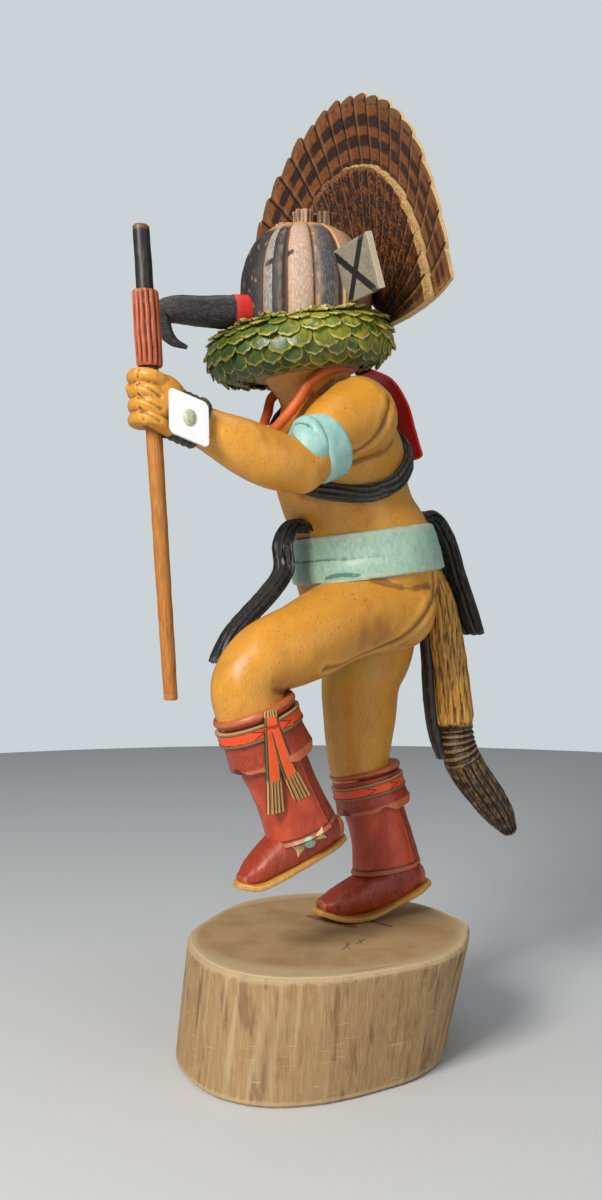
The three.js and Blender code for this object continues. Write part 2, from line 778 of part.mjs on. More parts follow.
function neckRibbon(grow) {
  const width = ribbonWidth / 2 / scale;
  const thick = ribbonThickness / 2 / scale;
  const stations = [
    [-2, 17, 214, width * 0.7, thick],
    [-3, 26, 211, width * 0.85, thick],
    [-4, 32.6, 202.6, width, thick],
    [-5, 37, 192, width, thick],
    [-5.5, 40.6, 183, width * 0.95, thick],
  ];
  const side = new THREE.Vector3(0.98, 0.17, 0);
  return solidOf(limb(stations, { side, sides: 8, rows: 5, round: [0, 2], square: 4 }, grow));
}

// The white plate lies on the outside of the carved wrist band; its ends stand upright.
function wristPlate() {
  const outline = new THREE.Shape();
  const [long, tall] = [plateLength / 2, plateHeight / 2];
  const [straight, plain] = [long - plateCorner, tall - plateCorner];
  outline.moveTo(-straight, -tall);
  outline.lineTo(straight, -tall);
  outline.quadraticCurveTo(long, -tall, long, -plain);
  outline.lineTo(long, plain);
  outline.quadraticCurveTo(long, tall, straight, tall);
  outline.lineTo(-straight, tall);
  outline.quadraticCurveTo(-long, tall, -long, plain);
  outline.lineTo(-long, -plain);
  outline.quadraticCurveTo(-long, -tall, -straight, -tall);
  const cut = { depth: plateThickness, bevelEnabled: false, curveSegments: 1 };
  const plate = new THREE.ExtrudeGeometry(outline, cut);
  const stone = new THREE.SphereGeometry(1, 6, 4).scale(...stoneSizes).translate(0, 0, plateThickness);
  const [start, end] = wristStations.map((station) => at(station));
  const inPlate = (way) => way.clone().addScaledVector(plateFacing, -way.dot(plateFacing)).normalize();
  const along = inPlate(start.clone().sub(end));
  const plumb = inPlate(upright);
  const basis = new THREE.Matrix4().makeBasis(along, plumb, plateFacing);
  const standOff = wristStations[0][3] * scale + gap;
  const middle = start.lerp(end, 0.5).addScaledVector(plumb, -plateDrop);
  basis.setPosition(middle.addScaledVector(plateFacing, standOff));
  return solidOf(plate.applyMatrix4(basis)).add(solidOf(stone.applyMatrix4(basis)));
}

// Log slice

// The outline of the log, from how far the bark side stands off a circle at each bearing.
function logRadius(bearing) {
  const bump = (centre, spread, rise) => {
    const apart = ((bearing - centre + 540) % 360) - 180;
    return rise * Math.exp(-((apart / spread) ** 2));
  };
  const swell = bump(-52, 30, 0.14) + bump(-135, 24, -0.085) + bump(72, 9, 0.035);
  return baseRadius * (1 + swell + bump(165, 22, 0.02) + bump(0, 14, -0.02));
}

function logBase() {
  const leanWay = new THREE.Vector2(-0.423, -0.906);
  const levels = [
    [0, baseRim],
    [baseRim * 0.8, 0],
    [baseHeight / 2, -0.6],
    [baseHeight - baseRim, 0],
    [baseHeight, baseRim],
  ];
  const log = new THREE.CylinderGeometry(1, 1, 1, baseColumns, levels.length - 1);
  return solidOf(
    reshaped(log, (vertex) => {
      const [height, inset] = levels[Math.round((vertex.y + 0.5) * (levels.length - 1))];
      const bearing = (360 * columnOf(vertex, baseColumns)) / baseColumns - 90;
      const under = baseTaper * (1 - height / baseHeight) * Math.max(0, Math.cos(degrees(bearing - 50)));
      const reach = vertex.x || vertex.z ? logRadius(bearing) - inset - under : 0;
      const shift = baseLean * (1 - height / baseHeight);
      const x = reach * Math.cos(degrees(bearing)) + leanWay.x * shift;
      const y = reach * Math.sin(degrees(bearing)) + leanWay.y * shift;
      return new THREE.Vector3(x, y, height);
    }),
  );
}

// Assembly

const finish = (color, roughness) => new THREE.MeshStandardMaterial({ color, roughness, metalness: 0 });

const finishes = {
  figure: finish(0xc98a2b, 0.5),
  log: finish(0xa98a5f, 0.85),
  staff: finish(0x9a5226, 0.6),
  beak: finish(0x2a2a2c, 0.7),
  ear: finish(0x8f8878, 0.8),
  fan: finish(0x4a1d0e, 0.6),
  sash: finish(0x17161a, 0.6),
  pelt: finish(0xb98532, 0.6),
  ribbon: finish(0xb5161c, 0.6),
  plate: finish(0xe8e9ee, 0.4),
};

const doll = new THREE.Group();
doll.position.z = baseHeight + gap;

function addPiece(parent, name, solid, material) {
  const mesh = new THREE.Mesh(geometryOf(solid), material);
  mesh.name = name;
  parent.add(mesh);
}

const figureRoom = figure(gap);
const staffRoom = staff(gap);
const headRoom = head(gap);
const sashRoom = backSash(gap);

addPiece(doll, "carved_figure", figure(0).subtract(staffRoom), finishes.figure);
addPiece(doll, "staff", staff(0), finishes.staff);
addPiece(doll, "beak", beak(0).subtract(headRoom), finishes.beak);
addPiece(doll, "ear_plate_left", earPlate(1).subtract(headRoom), finishes.ear);
addPiece(doll, "ear_plate_right", earPlate(-1).subtract(headRoom), finishes.ear);
addPiece(doll, "feather_fan", fan(0).subtract(headRoom), finishes.fan);
addPiece(doll, "front_sash", frontSash(0).subtract(figureRoom), finishes.sash);
addPiece(doll, "back_sash", backSash(0).subtract(figureRoom), finishes.sash);
addPiece(doll, "fox_pelt", foxPelt(0).subtract(figureRoom).subtract(sashRoom), finishes.pelt);
addPiece(doll, "neck_ribbon", neckRibbon(0).subtract(figureRoom), finishes.ribbon);
addPiece(doll, "wrist_plate", wristPlate().subtract(figureRoom), finishes.plate);

const model = new THREE.Group();
model.add(doll);
addPiece(model, "log_base", logBase(), finishes.log);

export default model;
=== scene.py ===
import math
import random

import bmesh
import bpy
import numpy as np
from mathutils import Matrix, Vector, noise
from mathutils.bvhtree import BVHTree


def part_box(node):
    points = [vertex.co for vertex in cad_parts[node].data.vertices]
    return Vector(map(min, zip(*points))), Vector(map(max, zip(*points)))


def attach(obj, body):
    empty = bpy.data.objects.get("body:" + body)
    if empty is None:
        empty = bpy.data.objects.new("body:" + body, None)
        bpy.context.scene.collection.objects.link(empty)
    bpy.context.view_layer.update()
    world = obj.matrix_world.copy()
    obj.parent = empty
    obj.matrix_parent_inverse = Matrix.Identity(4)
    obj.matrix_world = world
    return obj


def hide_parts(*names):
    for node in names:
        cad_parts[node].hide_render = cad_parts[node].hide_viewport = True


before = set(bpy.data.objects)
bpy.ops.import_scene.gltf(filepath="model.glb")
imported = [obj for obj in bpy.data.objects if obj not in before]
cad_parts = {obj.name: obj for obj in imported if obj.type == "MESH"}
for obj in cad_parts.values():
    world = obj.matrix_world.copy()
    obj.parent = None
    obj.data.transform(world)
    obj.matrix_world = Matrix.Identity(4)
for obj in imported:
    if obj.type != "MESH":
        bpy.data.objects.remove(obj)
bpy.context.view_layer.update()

mm = 0.001
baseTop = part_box("log_base")[1].z / mm
soleHeight = baseTop + 0.3
rng = random.Random(7)

print("stage: shape tools")


# A smooth curve through points; t runs from 0 to 1, evenly over the points.
def curveAt(points, t, closed=False, centripetal=True):
    count = len(points)
    spans = count if closed else count - 1
    x = (t % 1.0 if closed else t) * spans
    index = min(max(int(x), 0), spans - 1)
    share = x - index

    def point(k):
        if closed:
            return points[k % count]
        if k < 0:
            return 2 * points[0] - points[1]
        if k >= count:
            return 2 * points[-1] - points[-2]
        return points[k]

    p0, p1, p2, p3 = (point(index + k) for k in (-1, 0, 1, 2))
    if centripetal:
        d0, d1, d2 = (max(np.sum((b - a) ** 2) ** 0.25, 1e-4) for a, b in ((p0, p1), (p1, p2), (p2, p3)))
        m1 = ((p1 - p0) / d0 - (p2 - p0) / (d0 + d1) + (p2 - p1) / d1) * d1
        m2 = ((p2 - p1) / d1 - (p3 - p1) / (d1 + d2) + (p3 - p2) / d2) * d1
    else:
        m1, m2 = (p2 - p0) / 2, (p3 - p1) / 2
    s2, s3 = share * share, share ** 3
    return p1 * (2 * s3 - 3 * s2 + 1) + m1 * (s3 - 2 * s2 + share) + p2 * (3 * s2 - 2 * s3) + m2 * (s3 - s2)


def unit(vector):
    return vector / max(np.linalg.norm(vector), 1e-9)


# A closed grid of rings: faces between neighbouring rings, and a fan on each end's middle point.
def ringsToShape(rings, alongs, ends=None, finish=0):
    rings = np.asarray(rings)
    count, sides = rings.shape[:2]
    i, j = np.meshgrid(np.arange(count - 1), np.arange(sides), indexing="ij")
    k = (j + 1) % sides
    quads = np.stack([i * sides + j, (i + 1) * sides + j, (i + 1) * sides + k, i * sides + k], -1)
    alongs = np.asarray(alongs, float)
    u0, u1 = j / sides, (j + 1) / sides
    v0, v1 = alongs[i], alongs[i + 1]
    uv = np.stack([np.stack(pair, -1) for pair in ((u0, v0), (u0, v1), (u1, v1), (u1, v0))], -2)
    shape = {"verts": rings.reshape(-1, 3), "quads": quads.reshape(-1, 4), "uvQuads": uv.reshape(-1, 4, 2)}
    tris, uvTris, extra = [], [], []
    for end, ring in ((0, 0), (1, count - 1)):
        middle = rings[ring].mean(0) if ends is None else ends[end]
        hub = count * sides + len(extra)
        extra.append(middle)
        around = np.arange(sides)
        following = (around + 1) % sides
        first, second = (around, following) if end == 0 else (following, around)
        tris.append(np.stack([ring * sides + first, ring * sides + second, np.full(sides, hub)], -1))
        u = np.stack([around / sides, (around + 1) / sides, (around + 0.5) / sides], -1)
        uvTris.append(np.stack([u, np.full_like(u, alongs[ring])], -1))
    shape["verts"] = np.concatenate([shape["verts"], np.array(extra)])
    shape["tris"] = np.concatenate(tris)
    shape["uvTris"] = np.concatenate(uvTris)
    shape["finish"] = finish
    return shape


# A limb lofted through stations [x, y, h, half width, half depth]; width runs along side.
# carve(angle, along) adds to both half sizes, and hem(angle) moves the last ring along the limb.
def limb(
    stations, sides=40, rows=40, side=(1, 0, 0), domes=(0, 0), square=2.0, carve=None, hem=None, finish=0
):
    stations = np.array(stations, float)
    path, sizes = stations[:, :3], stations[:, 3:]
    side = np.array(side, float)
    domeRows = 6
    plan = [(i / rows, 0.0, 1.0) for i in range(rows + 1)]
    lift = [math.pi / 2 * k / (domeRows + 0.5) for k in range(domeRows, 0, -1)]
    if domes[0]:
        plan = [(0.0, -domes[0] * math.sin(a), math.cos(a)) for a in lift] + plan
    if domes[1]:
        plan = plan + [(1.0, domes[1] * math.sin(a), math.cos(a)) for a in reversed(lift)]
    angles = 2 * np.pi * np.arange(sides) / sides
    c, s = np.cos(angles), np.sin(angles)
    reach = (np.abs(c) ** square + np.abs(s) ** square) ** (-1 / square)
    rings, alongs = [], []
    for along, shift, fill in plan:
        ahead, behind = min(along + 1e-3, 1), max(along - 1e-3, 0)
        tangent = unit(curveAt(path, ahead) - curveAt(path, behind))
        across = unit(side - tangent * side.dot(tangent))
        other = np.cross(across, tangent)
        width, depth = curveAt(sizes, along, centripetal=False)
        cut = carve(angles, along) if carve else 0
        centre = curveAt(path, along) + tangent * shift
        raised = hem(angles) if hem and along == 1 else np.zeros(sides)
        ring = (
            centre
            + np.outer(c * reach * fill * (width + cut), across)
            + np.outer(s * reach * fill * (depth + cut), other)
            + np.outer(raised, tangent)
        )
        rings.append(ring)
        alongs.append(along)
    return ringsToShape(rings, alongs, finish=finish)


# A closed band along a loop: width lies along what it wraps, thickness stands off it.
def band(points, centreOf, width, thickness, sides=16, turns=160, square=2.0, carve=None, finish=0):
    points = np.array(points, float)
    verts = []
    angles = 2 * np.pi * np.arange(sides) / sides
    c, s = np.cos(angles), np.sin(angles)
    reach = (np.abs(c) ** square + np.abs(s) ** square) ** (-1 / square)
    for i in range(turns):
        along = i / turns
        centre = curveAt(points, along, closed=True)
        tangent = unit(curveAt(points, along + 1e-3, closed=True) - curveAt(
            points, along - 1e-3, closed=True
        ))
        outward = centre - centreOf(centre)
        outward = unit(outward - tangent * outward.dot(tangent))
        across = np.cross(outward, tangent)
        relief = carve(angles, along) if carve else 0
        verts.append(
            centre
            + np.outer(c * reach * (thickness / 2 + relief), outward)
            + np.outer(s * reach * (width / 2 + relief), across)
        )
    verts = np.array(verts)
    i, j = np.meshgrid(np.arange(turns), np.arange(sides), indexing="ij")
    i2, j2 = (i + 1) % turns, (j + 1) % sides
    quads = np.stack([i * sides + j, i2 * sides + j, i2 * sides + j2, i * sides + j2], -1).reshape(-1, 4)
    u0, u1, v0, v1 = i / turns, (i + 1) / turns, j / sides, (j + 1) / sides
    uv = np.stack([np.stack(pair, -1) for pair in ((v0, u0), (v0, u1), (v1, u1), (v1, u0))], -2)
    return {
        "verts": verts.reshape(-1, 3),
        "quads": quads,
        "uvQuads": uv.reshape(-1, 4, 2),
        "tris": np.zeros((0, 3), int),
        "uvTris": np.zeros((0, 3, 2)),
        "finish": finish,
    }


# An oval lump with its thin axis along facing.
def lump(centre, sizes, facing, sides=24, rows=14, carve=None, finish=0):
    normal = unit(np.array(facing, float))
    across = unit(np.cross((0, 0, 1), normal))
    other = np.cross(normal, across)
    angles = 2 * np.pi * np.arange(sides) / sides
    rings, alongs = [], []
    for i in range(1, rows):
        tilt = math.pi * i / rows
        grown = 1 + (carve(angles, i / rows) if carve else 0)
        ring = (
            np.outer(np.cos(angles) * math.sin(tilt) * sizes[0] * grown, across)
            - np.outer(np.sin(angles) * math.sin(tilt) * sizes[1] * grown, other)
            - normal * math.cos(tilt) * sizes[2]
        )
        rings.append(ring + np.array(centre, float))
        alongs.append(i / rows)
    ends = [np.array(centre, float) - normal * sizes[2], np.array(centre, float) + normal * sizes[2]]
    return ringsToShape(rings, alongs, ends, finish)


# The middle ring of a grid's edge, walked once round.
def rimOf(columns, rows):
    rim = [(i, 0) for i in range(columns)] + [(columns, j) for j in range(rows)]
    return rim + [(i, rows) for i in range(columns, 0, -1)] + [(0, j) for j in range(rows, 0, -1)]


# A slab from two grids of the same size, joined round their edges. front faces away from back.
def slab(front, back, finish=0, wall=None):
    front, back = np.asarray(front), np.asarray(back)
    columns, rows = front.shape[0] - 1, front.shape[1] - 1
    count = (columns + 1) * (rows + 1)
    at = lambda i, j: i * (rows + 1) + j
    i, j = np.meshgrid(np.arange(columns), np.arange(rows), indexing="ij")
    face = np.stack([at(i, j), at(i + 1, j), at(i + 1, j + 1), at(i, j + 1)], -1).reshape(-1, 4)
    u0, u1, v0, v1 = i / columns, (i + 1) / columns, j / rows, (j + 1) / rows
    corners = ((u0, v0), (u1, v0), (u1, v1), (u0, v1))
    uv = np.stack([np.stack(corner, -1) for corner in corners], -2).reshape(-1, 4, 2)
    rim = rimOf(columns, rows)
    walls, wallUv = [], []
    for (a, b), (c, d) in zip(rim, rim[1:] + rim[:1]):
        walls.append([at(c, d), at(a, b), count + at(a, b), count + at(c, d)])
        pair = [(a / columns, b / rows), (c / columns, d / rows)]
        wallUv.append([pair[1], pair[0], pair[0], pair[1]])
    kinds = [finish] * (2 * len(face)) + [finish if wall is None else wall] * len(walls)
    return {
        "verts": np.concatenate([front.reshape(-1, 3), back.reshape(-1, 3)]),
        "quads": np.concatenate([face, face[:, ::-1] + count, np.array(walls)]),
        "uvQuads": np.concatenate([uv, uv[:, ::-1], np.array(wallUv, float)]),
        "tris": np.zeros((0, 3), int),
        "uvTris": np.zeros((0, 3, 2)),
        "finish": kinds,
    }


# One Blender mesh from several shapes in millimetres. inRoom is True for points from the floor up.
def meshOf(name, shapes, finishes=(), inRoom=False):
    offset, verts, faces, uvs, kinds = 0, [], [], [], []
    for shape in shapes:
        verts.append(shape["verts"])
        faces += (shape["quads"] + offset).tolist() + (shape["tris"] + offset).tolist()
        uvs += [shape["uvQuads"].reshape(-1, 2), shape["uvTris"].reshape(-1, 2)]
        kinds += np.broadcast_to(shape["finish"], len(shape["quads"]) + len(shape["tris"])).tolist()
        offset += len(shape["verts"])
    place = np.concatenate(verts) + (0, 0, 0 if inRoom else soleHeight)
    mesh = bpy.data.meshes.new(name)
    mesh.from_pydata((place * mm).tolist(), [], faces)
    layer = mesh.uv_layers.new(name="strip")
    layer.uv.foreach_set("vector", np.concatenate(uvs).astype(np.float32).ravel())
    mesh.polygons.foreach_set("material_index", np.array(kinds, np.int32))
    for finish in finishes:
        mesh.materials.append(finish)
    piece = bpy.data.objects.new(name, mesh)
    bpy.context.scene.collection.objects.link(piece)
    return piece


def withNormalsOut(piece, sharpAngle=42):
    build = bmesh.new()
    build.from_mesh(piece.data)
    bmesh.ops.recalc_face_normals(build, faces=build.faces)
    limit = math.radians(sharpAngle)
    for edge in build.edges:
        edge.smooth = len(edge.link_faces) == 2 and edge.calc_face_angle(0) < limit
    for face in build.faces:
        face.smooth = True
    build.to_mesh(piece.data)
    build.free()
    return piece


def coordinates(mesh):
    co = np.zeros(len(mesh.vertices) * 3, np.float32)
    mesh.vertices.foreach_get("co", co)
    return co.reshape(-1, 3).astype(float)


def normalsOf(mesh):
    found = np.zeros(len(mesh.vertices) * 3, np.float32)
    mesh.vertices.foreach_get("normal", found)
    return found.reshape(-1, 3).astype(float)


def edgesOf(mesh):
    found = np.zeros(len(mesh.edges) * 2, np.int32)
    mesh.edges.foreach_get("vertices", found)
    return found.reshape(-1, 2)


# Moves every point towards the mean of its neighbours, the given number of rounds.
def relaxed(co, edges, rounds, strength=0.5, keepVolume=False):
    count = len(co)
    links = np.bincount(edges.ravel(), minlength=count)[:, None].clip(1)
    for step in range(rounds * (2 if keepVolume else 1)):
        total = np.stack(
            [
                np.bincount(edges[:, 0], co[edges[:, 1], k], count) + np.bincount(
                    edges[:, 1], co[edges[:, 0], k], count
                )
                for k in range(3)
            ],
            -1,
        )
        pull = strength if step % 2 == 0 or not keepVolume else -strength * 1.04
        co = co + pull * (total / links - co)
    return co


# One closed skin round overlapping shapes, as a carver blends them: voxels, then smoothing.
def blended(name, shapes, voxel, rounds):
    rough = meshOf(name, shapes)
    remesh = rough.modifiers.new("blend", "REMESH")
    remesh.mode = "VOXEL"
    remesh.voxel_size = voxel * mm
    graph = bpy.context.evaluated_depsgraph_get()
    mesh = bpy.data.meshes.new_from_object(rough.evaluated_get(graph))
    old = rough.data
    rough.modifiers.clear()
    rough.data = mesh
    bpy.data.meshes.remove(old)
    co = relaxed(coordinates(mesh), edgesOf(mesh), rounds, keepVolume=True)
    mesh.vertices.foreach_set("co", co.astype(np.float32).ravel())
    mesh.update()
    return rough


# Tool marks: every point moves along its normal by marks(place in millimetres).
def carveMarks(piece, marks):
    mesh = piece.data
    co, normal = coordinates(mesh), normalsOf(mesh)
    rise = np.array([marks(Vector(place)) for place in (co / mm).tolist()])
    mesh.vertices.foreach_set("co", (co + normal * rise[:, None] * mm).astype(np.float32).ravel())
    mesh.update()
    return piece


# Keeps how deep in a hollow, or how high on an edge, each point lies, for dirt and painted shade in hollows
# and wear on edges.
def feelHollows(piece, rounds=10, depth=0.25):
    mesh = piece.data
    co, edges = coordinates(mesh), edgesOf(mesh)
    apart = relaxed(co, edges, rounds) - co
    inward = (apart * normalsOf(mesh)).sum(1) / (depth * mm)
    layer = mesh.attributes.new("hollow", "FLOAT", "POINT")
    layer.data.foreach_set("value", inward.clip(-1, 1).astype(np.float32))
    return piece


def keepValue(piece, name, values):
    layer = piece.data.attributes.new(name, "FLOAT", "POINT")
    layer.data.foreach_set("value", np.asarray(values, np.float32))


# The finished piece rides on the doll, and stands for the carving's node.
def place(piece, slot, *nodes):
    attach(piece, "root")
    if nodes:
        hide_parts(*nodes)
    return piece


def grain(point, across, along):
    return noise.noise(Vector((point.x / across, point.y / across, point.z / along)))


print("stage: shader tools")


# One output of a node; arithmetic on it adds Math nodes.
class Wire:
    def __init__(self, finish, socket):
        self.finish = finish
        self.socket = socket

    def math(self, operation, *others):
        inputs = {0: self}
        inputs.update({index + 1: other for index, other in enumerate(others)})
        return self.finish.node("ShaderNodeMath", {"operation": operation}, inputs)["Value"]

    def __add__(self, other):
        return self.math("ADD", other)

    def __radd__(self, other):
        return self.math("ADD", other)

    def __sub__(self, other):
        return self.math("SUBTRACT", other)

    def __rsub__(self, other):
        return self.finish.node("ShaderNodeMath", {"operation": "SUBTRACT"}, {0: other, 1: self})["Value"]

    def __mul__(self, other):
        return self.math("MULTIPLY", other)

    def __rmul__(self, other):
        return self.math("MULTIPLY", other)

    def __truediv__(self, other):
        return self.math("DIVIDE", other)

    def __lt__(self, other):
        return self.math("LESS_THAN", other)

    def __gt__(self, other):
        return self.math("GREATER_THAN", other)

    def __mod__(self, other):
        return self.math("FLOORED_MODULO", other)

    def __abs__(self):
        return self.math("ABSOLUTE")

    # 0 below low, 1 above high, smooth between
    def rise(self, low, high):
        inputs = {"Value": self, "From Min": low, "From Max": high, "To Min": 0.0, "To Max": 1.0}
        return self.finish.node("ShaderNodeMapRange", {"interpolation_type": "SMOOTHSTEP"}, inputs)["Result"]

    # 1 near a value, 0 beyond reach, with soft edges
    def near(self, value, reach, soft):
        return 1 - abs(self - value).rise(reach - soft, reach + soft)


class Placed:
    def __init__(self, finish, node):
        self.finish = finish
        self.made = node

    def __getitem__(self, name):
        return Wire(self.finish, self.made.outputs[name])


# A painted or stained surface, built up from nodes.
class Finish:
    def __init__(self, name, **shine):
        self.material = bpy.data.materials.new(name)
        self.material.use_nodes = True
        self.tree = self.material.node_tree
        self.shader = self.tree.nodes["Principled BSDF"]
        for socket, value in shine.items():
            self.shader.inputs[socket.replace("_", " ")].default_value = value
        self.spot = 0

    def node(self, kind, settings=None, inputs=None):
        made = self.tree.nodes.new(kind)
        made.location = (-300 - 40 * self.spot, 200 - 30 * (self.spot % 20))
        self.spot += 1
        for key, value in (settings or {}).items():
            setattr(made, key, value)
        for key, value in (inputs or {}).items():
            if isinstance(value, Wire):
                self.tree.links.new(value.socket, made.inputs[key])
            else:
                made.inputs[key].default_value = value
        return Placed(self, made)

    # The place on the object in millimetres, divided by a size each way.
    def spots(self, sizes=(1, 1, 1), turned=None):
        place = self.node("ShaderNodeTexCoord")["Object"]
        if turned:
            settings = {"rotation_type": "EULER_XYZ"}
            inputs = {"Vector": place, "Rotation": turned}
            place = self.node("ShaderNodeVectorRotate", settings, inputs)["Vector"]
        scale = [1 / (mm * size) for size in sizes]
        return self.node("ShaderNodeVectorMath", {"operation": "MULTIPLY"}, {0: place, 1: scale})["Vector"]

    def axes(self, vector):
        parts = self.node("ShaderNodeSeparateXYZ", None, {"Vector": vector})
        return parts["X"], parts["Y"], parts["Z"]

    def strip(self):
        return self.axes(self.node("ShaderNodeUVMap", {"uv_map": "strip"})["UV"])

    def noise(self, vector, detail=3.0, roughness=0.55):
        inputs = {
            "Vector": vector,
            "Scale": 1.0,
            "Detail": detail,
            "Roughness": roughness,
        }
        return self.node("ShaderNodeTexNoise", None, inputs)["Fac"]

    def flecks(self, vector, low, high):
        inputs = {"Vector": vector, "Scale": 1.0, "Randomness": 1.0}
        return 1 - self.node("ShaderNodeTexVoronoi", None, inputs)["Distance"].rise(low, high)

    # 1 along a straight stroke in a plane, 0 beyond reach
    def stroke(self, x, y, start, end, reach, soft):
        runX, runY = end[0] - start[0], end[1] - start[1]
        square = runX ** 2 + runY ** 2
        share = (x - start[0]) * (runX / square) + (y - start[1]) * (runY / square)
        share = share.math("MAXIMUM", 0.0).math("MINIMUM", 1.0)
        offX, offY = x - start[0] - share * runX, y - start[1] - share * runY
        away = (offX * offX + offY * offY).math("SQRT")
        return 1 - away.rise(reach - soft, reach + soft)

    def kept(self, name):
        return self.node("ShaderNodeAttribute", {"attribute_name": name})["Fac"]

    def mixed(self, mask, first, second):
        node = self.node("ShaderNodeMix", {"data_type": "RGBA", "clamp_factor": True})
        colours = {6: first, 7: second}
        for key, value in {0: mask, **colours}.items():
            socket = node.made.inputs[key]
            if isinstance(value, Wire):
                self.tree.links.new(value.socket, socket)
            else:
                socket.default_value = value if key == 0 else (*value, 1)
        return Wire(self, node.made.outputs[2])

    def colour(self, value):
        self.tree.links.new(value.socket, self.shader.inputs["Base Color"])

    def roughness(self, value):
        self.tree.links.new(value.socket, self.shader.inputs["Roughness"])

    def relief(self, height, depth):
        inputs = {"Height": height, "Strength": 1.0, "Distance": depth * mm}
        bump = self.node("ShaderNodeBump", None, inputs)["Normal"]
        self.tree.links.new(bump.socket, self.shader.inputs["Normal"])


print("stage: finishes")


# What painted and stained surfaces share: a base tone with grain, brush streaks and broad clouds.
def wooded(
    name, tone, dark, light, grainSize=(0.35, 0.35, 4.0), streak=0.6, cloudy=0.5, cloudSize=(10, 10, 15)
):
    finish = Finish(name)
    finish.fine = finish.noise(finish.spots(grainSize), detail=4, roughness=0.6)
    finish.clouds = finish.noise(finish.spots(cloudSize), detail=3)
    finish.hollow = finish.kept("hollow")
    finish.darkTone, finish.lightTone = dark, light
    colour = finish.mixed(finish.fine.rise(0.45, 0.75) * streak, tone, light)
    colour = finish.mixed((1 - finish.fine).rise(0.5, 0.76) * streak, colour, dark)
    finish.base = finish.mixed(finish.clouds.rise(0.5, 0.75) * cloudy, colour, dark)
    return finish


# Dark specks, dirt and painted shade in hollows, and wear on edges go over the pattern; then gloss and
# relief.
def aged(finish, colour, specks=0.5, dirt=0.75, wear=0.3, shine=0.42, depth=0.06, soil=None, rubbed=None):
    soil = soil or tuple(part * 0.3 for part in finish.darkTone)
    rubbed = rubbed or finish.lightTone
    spots = finish.flecks(finish.spots((1.3, 1.3, 1.9)), 0.1, 0.2)
    spots = spots * finish.noise(finish.spots((8, 8, 8))).rise(0.46, 0.6)
    colour = finish.mixed(spots * specks, colour, (0.035, 0.012, 0.004))
    edge = ((0 - finish.hollow) + finish.clouds * 0.5 - 0.25).rise(0.2, 0.8)
    colour = finish.mixed(edge * wear, colour, rubbed)
    # Dirt and painted shade: colour goes darker towards hollows.
    colour = finish.mixed(finish.hollow.rise(0.05, 0.6) * dirt, colour, soil)
    finish.colour(colour)
    finish.roughness(finish.fine * 0.22 + finish.clouds * 0.2 + (shine - 0.2))
    finish.relief(finish.fine * 0.7 + spots * -0.5 + finish.clouds * 0.4, depth)
    return finish


def plainFinish(name, tone, dark, light, **how):
    grain = {key: how.pop(key) for key in ("grainSize", "streak", "cloudy", "cloudSize") if key in how}
    finish = wooded(name, tone, dark, light, **grain)
    return aged(finish, finish.base, **how)


skinTones = {"tone": (0.61, 0.265, 0.028), "dark": (0.36, 0.115, 0.012), "light": (0.80, 0.44, 0.075)}


# Golden stain, browner towards hollows with painted shade and dirt, and a greenish yellow hatched patch on
# the standing leg.
def skinFinish():
    skin = wooded("skinStain", *skinTones.values(), streak=0.42, cloudy=0.6, cloudSize=(13, 13, 18))
    patches = skin.noise(skin.spots((24, 24, 24)), detail=2)
    colour = skin.mixed(patches.rise(0.5, 0.68) * 0.5, skin.base, (0.72, 0.30, 0.022))
    x, y, z = skin.axes(skin.spots())
    hatch = skin.noise(skin.spots((0.5, 0.5, 1.6), (0.5, 0, 0.4)), detail=3)
    reach = x.near(-6, 9, 3) * z.near(soleHeight + 99, 6, 2.5) * (y < 22) * hatch.rise(0.35, 0.6)
    colour = skin.mixed(reach * 0.75, colour, (0.50, 0.38, 0.08))
    # The reddish brown in the hollows is painted shade as well as dirt.
    return aged(
        skin, colour, specks=0.75, dirt=0.6, wear=0.35, shine=0.34, depth=0.07, soil=(0.09, 0.028, 0.008)
    )


skinStain = skinFinish()
soleStain = plainFinish("soleStain", (0.53, 0.27, 0.05), (0.24, 0.09, 0.015), (0.72, 0.44, 0.12), specks=0.6)
beltPaint = plainFinish(
    "beltPaint",
    (0.31, 0.49, 0.39),
    (0.10, 0.27, 0.22),
    (0.60, 0.54, 0.36),
    grainSize=(1.2, 1.2, 2.0),
    streak=0.5,
    cloudy=0.35,
    cloudSize=(7, 7, 5),
    wear=0.25,
    specks=0.35,
    soil=(0.03, 0.11, 0.09),
)
bandPaint = plainFinish(
    "bandPaint",
    (0.30, 0.54, 0.50),
    (0.10, 0.28, 0.26),
    (0.52, 0.66, 0.56),
    grainSize=(2.5, 2.5, 2.5),
    streak=0.3,
    wear=0.15,
    specks=0.2,
    soil=(0.03, 0.12, 0.11),
)
blackPaint = plainFinish(
    "blackPaint",
    (0.013, 0.012, 0.014),
    (0.006, 0.005, 0.006),
    (0.10, 0.085, 0.055),
    grainSize=(1.0, 1.0, 3.0),
    streak=0.4,
    wear=0.4,
    specks=0,
    shine=0.4,
    depth=0.12,
)
cordPaint = plainFinish(
    "cordPaint", (0.72, 0.085, 0.016), (0.33, 0.03, 0.01), (0.85, 0.24, 0.06), wear=0.4, cloudSize=(4, 4, 6)
)
ribbonPaint = plainFinish(
    "ribbonPaint", (0.66, 0.008, 0.008), (0.30, 0.006, 0.006), (0.8, 0.06, 0.03), cloudy=0.4
)
platePaint = plainFinish(
    "platePaint",
    (0.80, 0.80, 0.82),
    (0.55, 0.53, 0.50),
    (0.88, 0.88, 0.88),
    grainSize=(3, 3, 0.5),
    streak=0.12,
    cloudy=0.12,
    specks=0.35,
    wear=0.1,
    soil=(0.25, 0.22, 0.18),
)
stonePaint = plainFinish(
    "stonePaint",
    (0.43, 0.44, 0.30),
    (0.14, 0.16, 0.09),
    (0.62, 0.6, 0.44),
    cloudSize=(1.2, 1.2, 1.2),
    dirt=0.9,
)
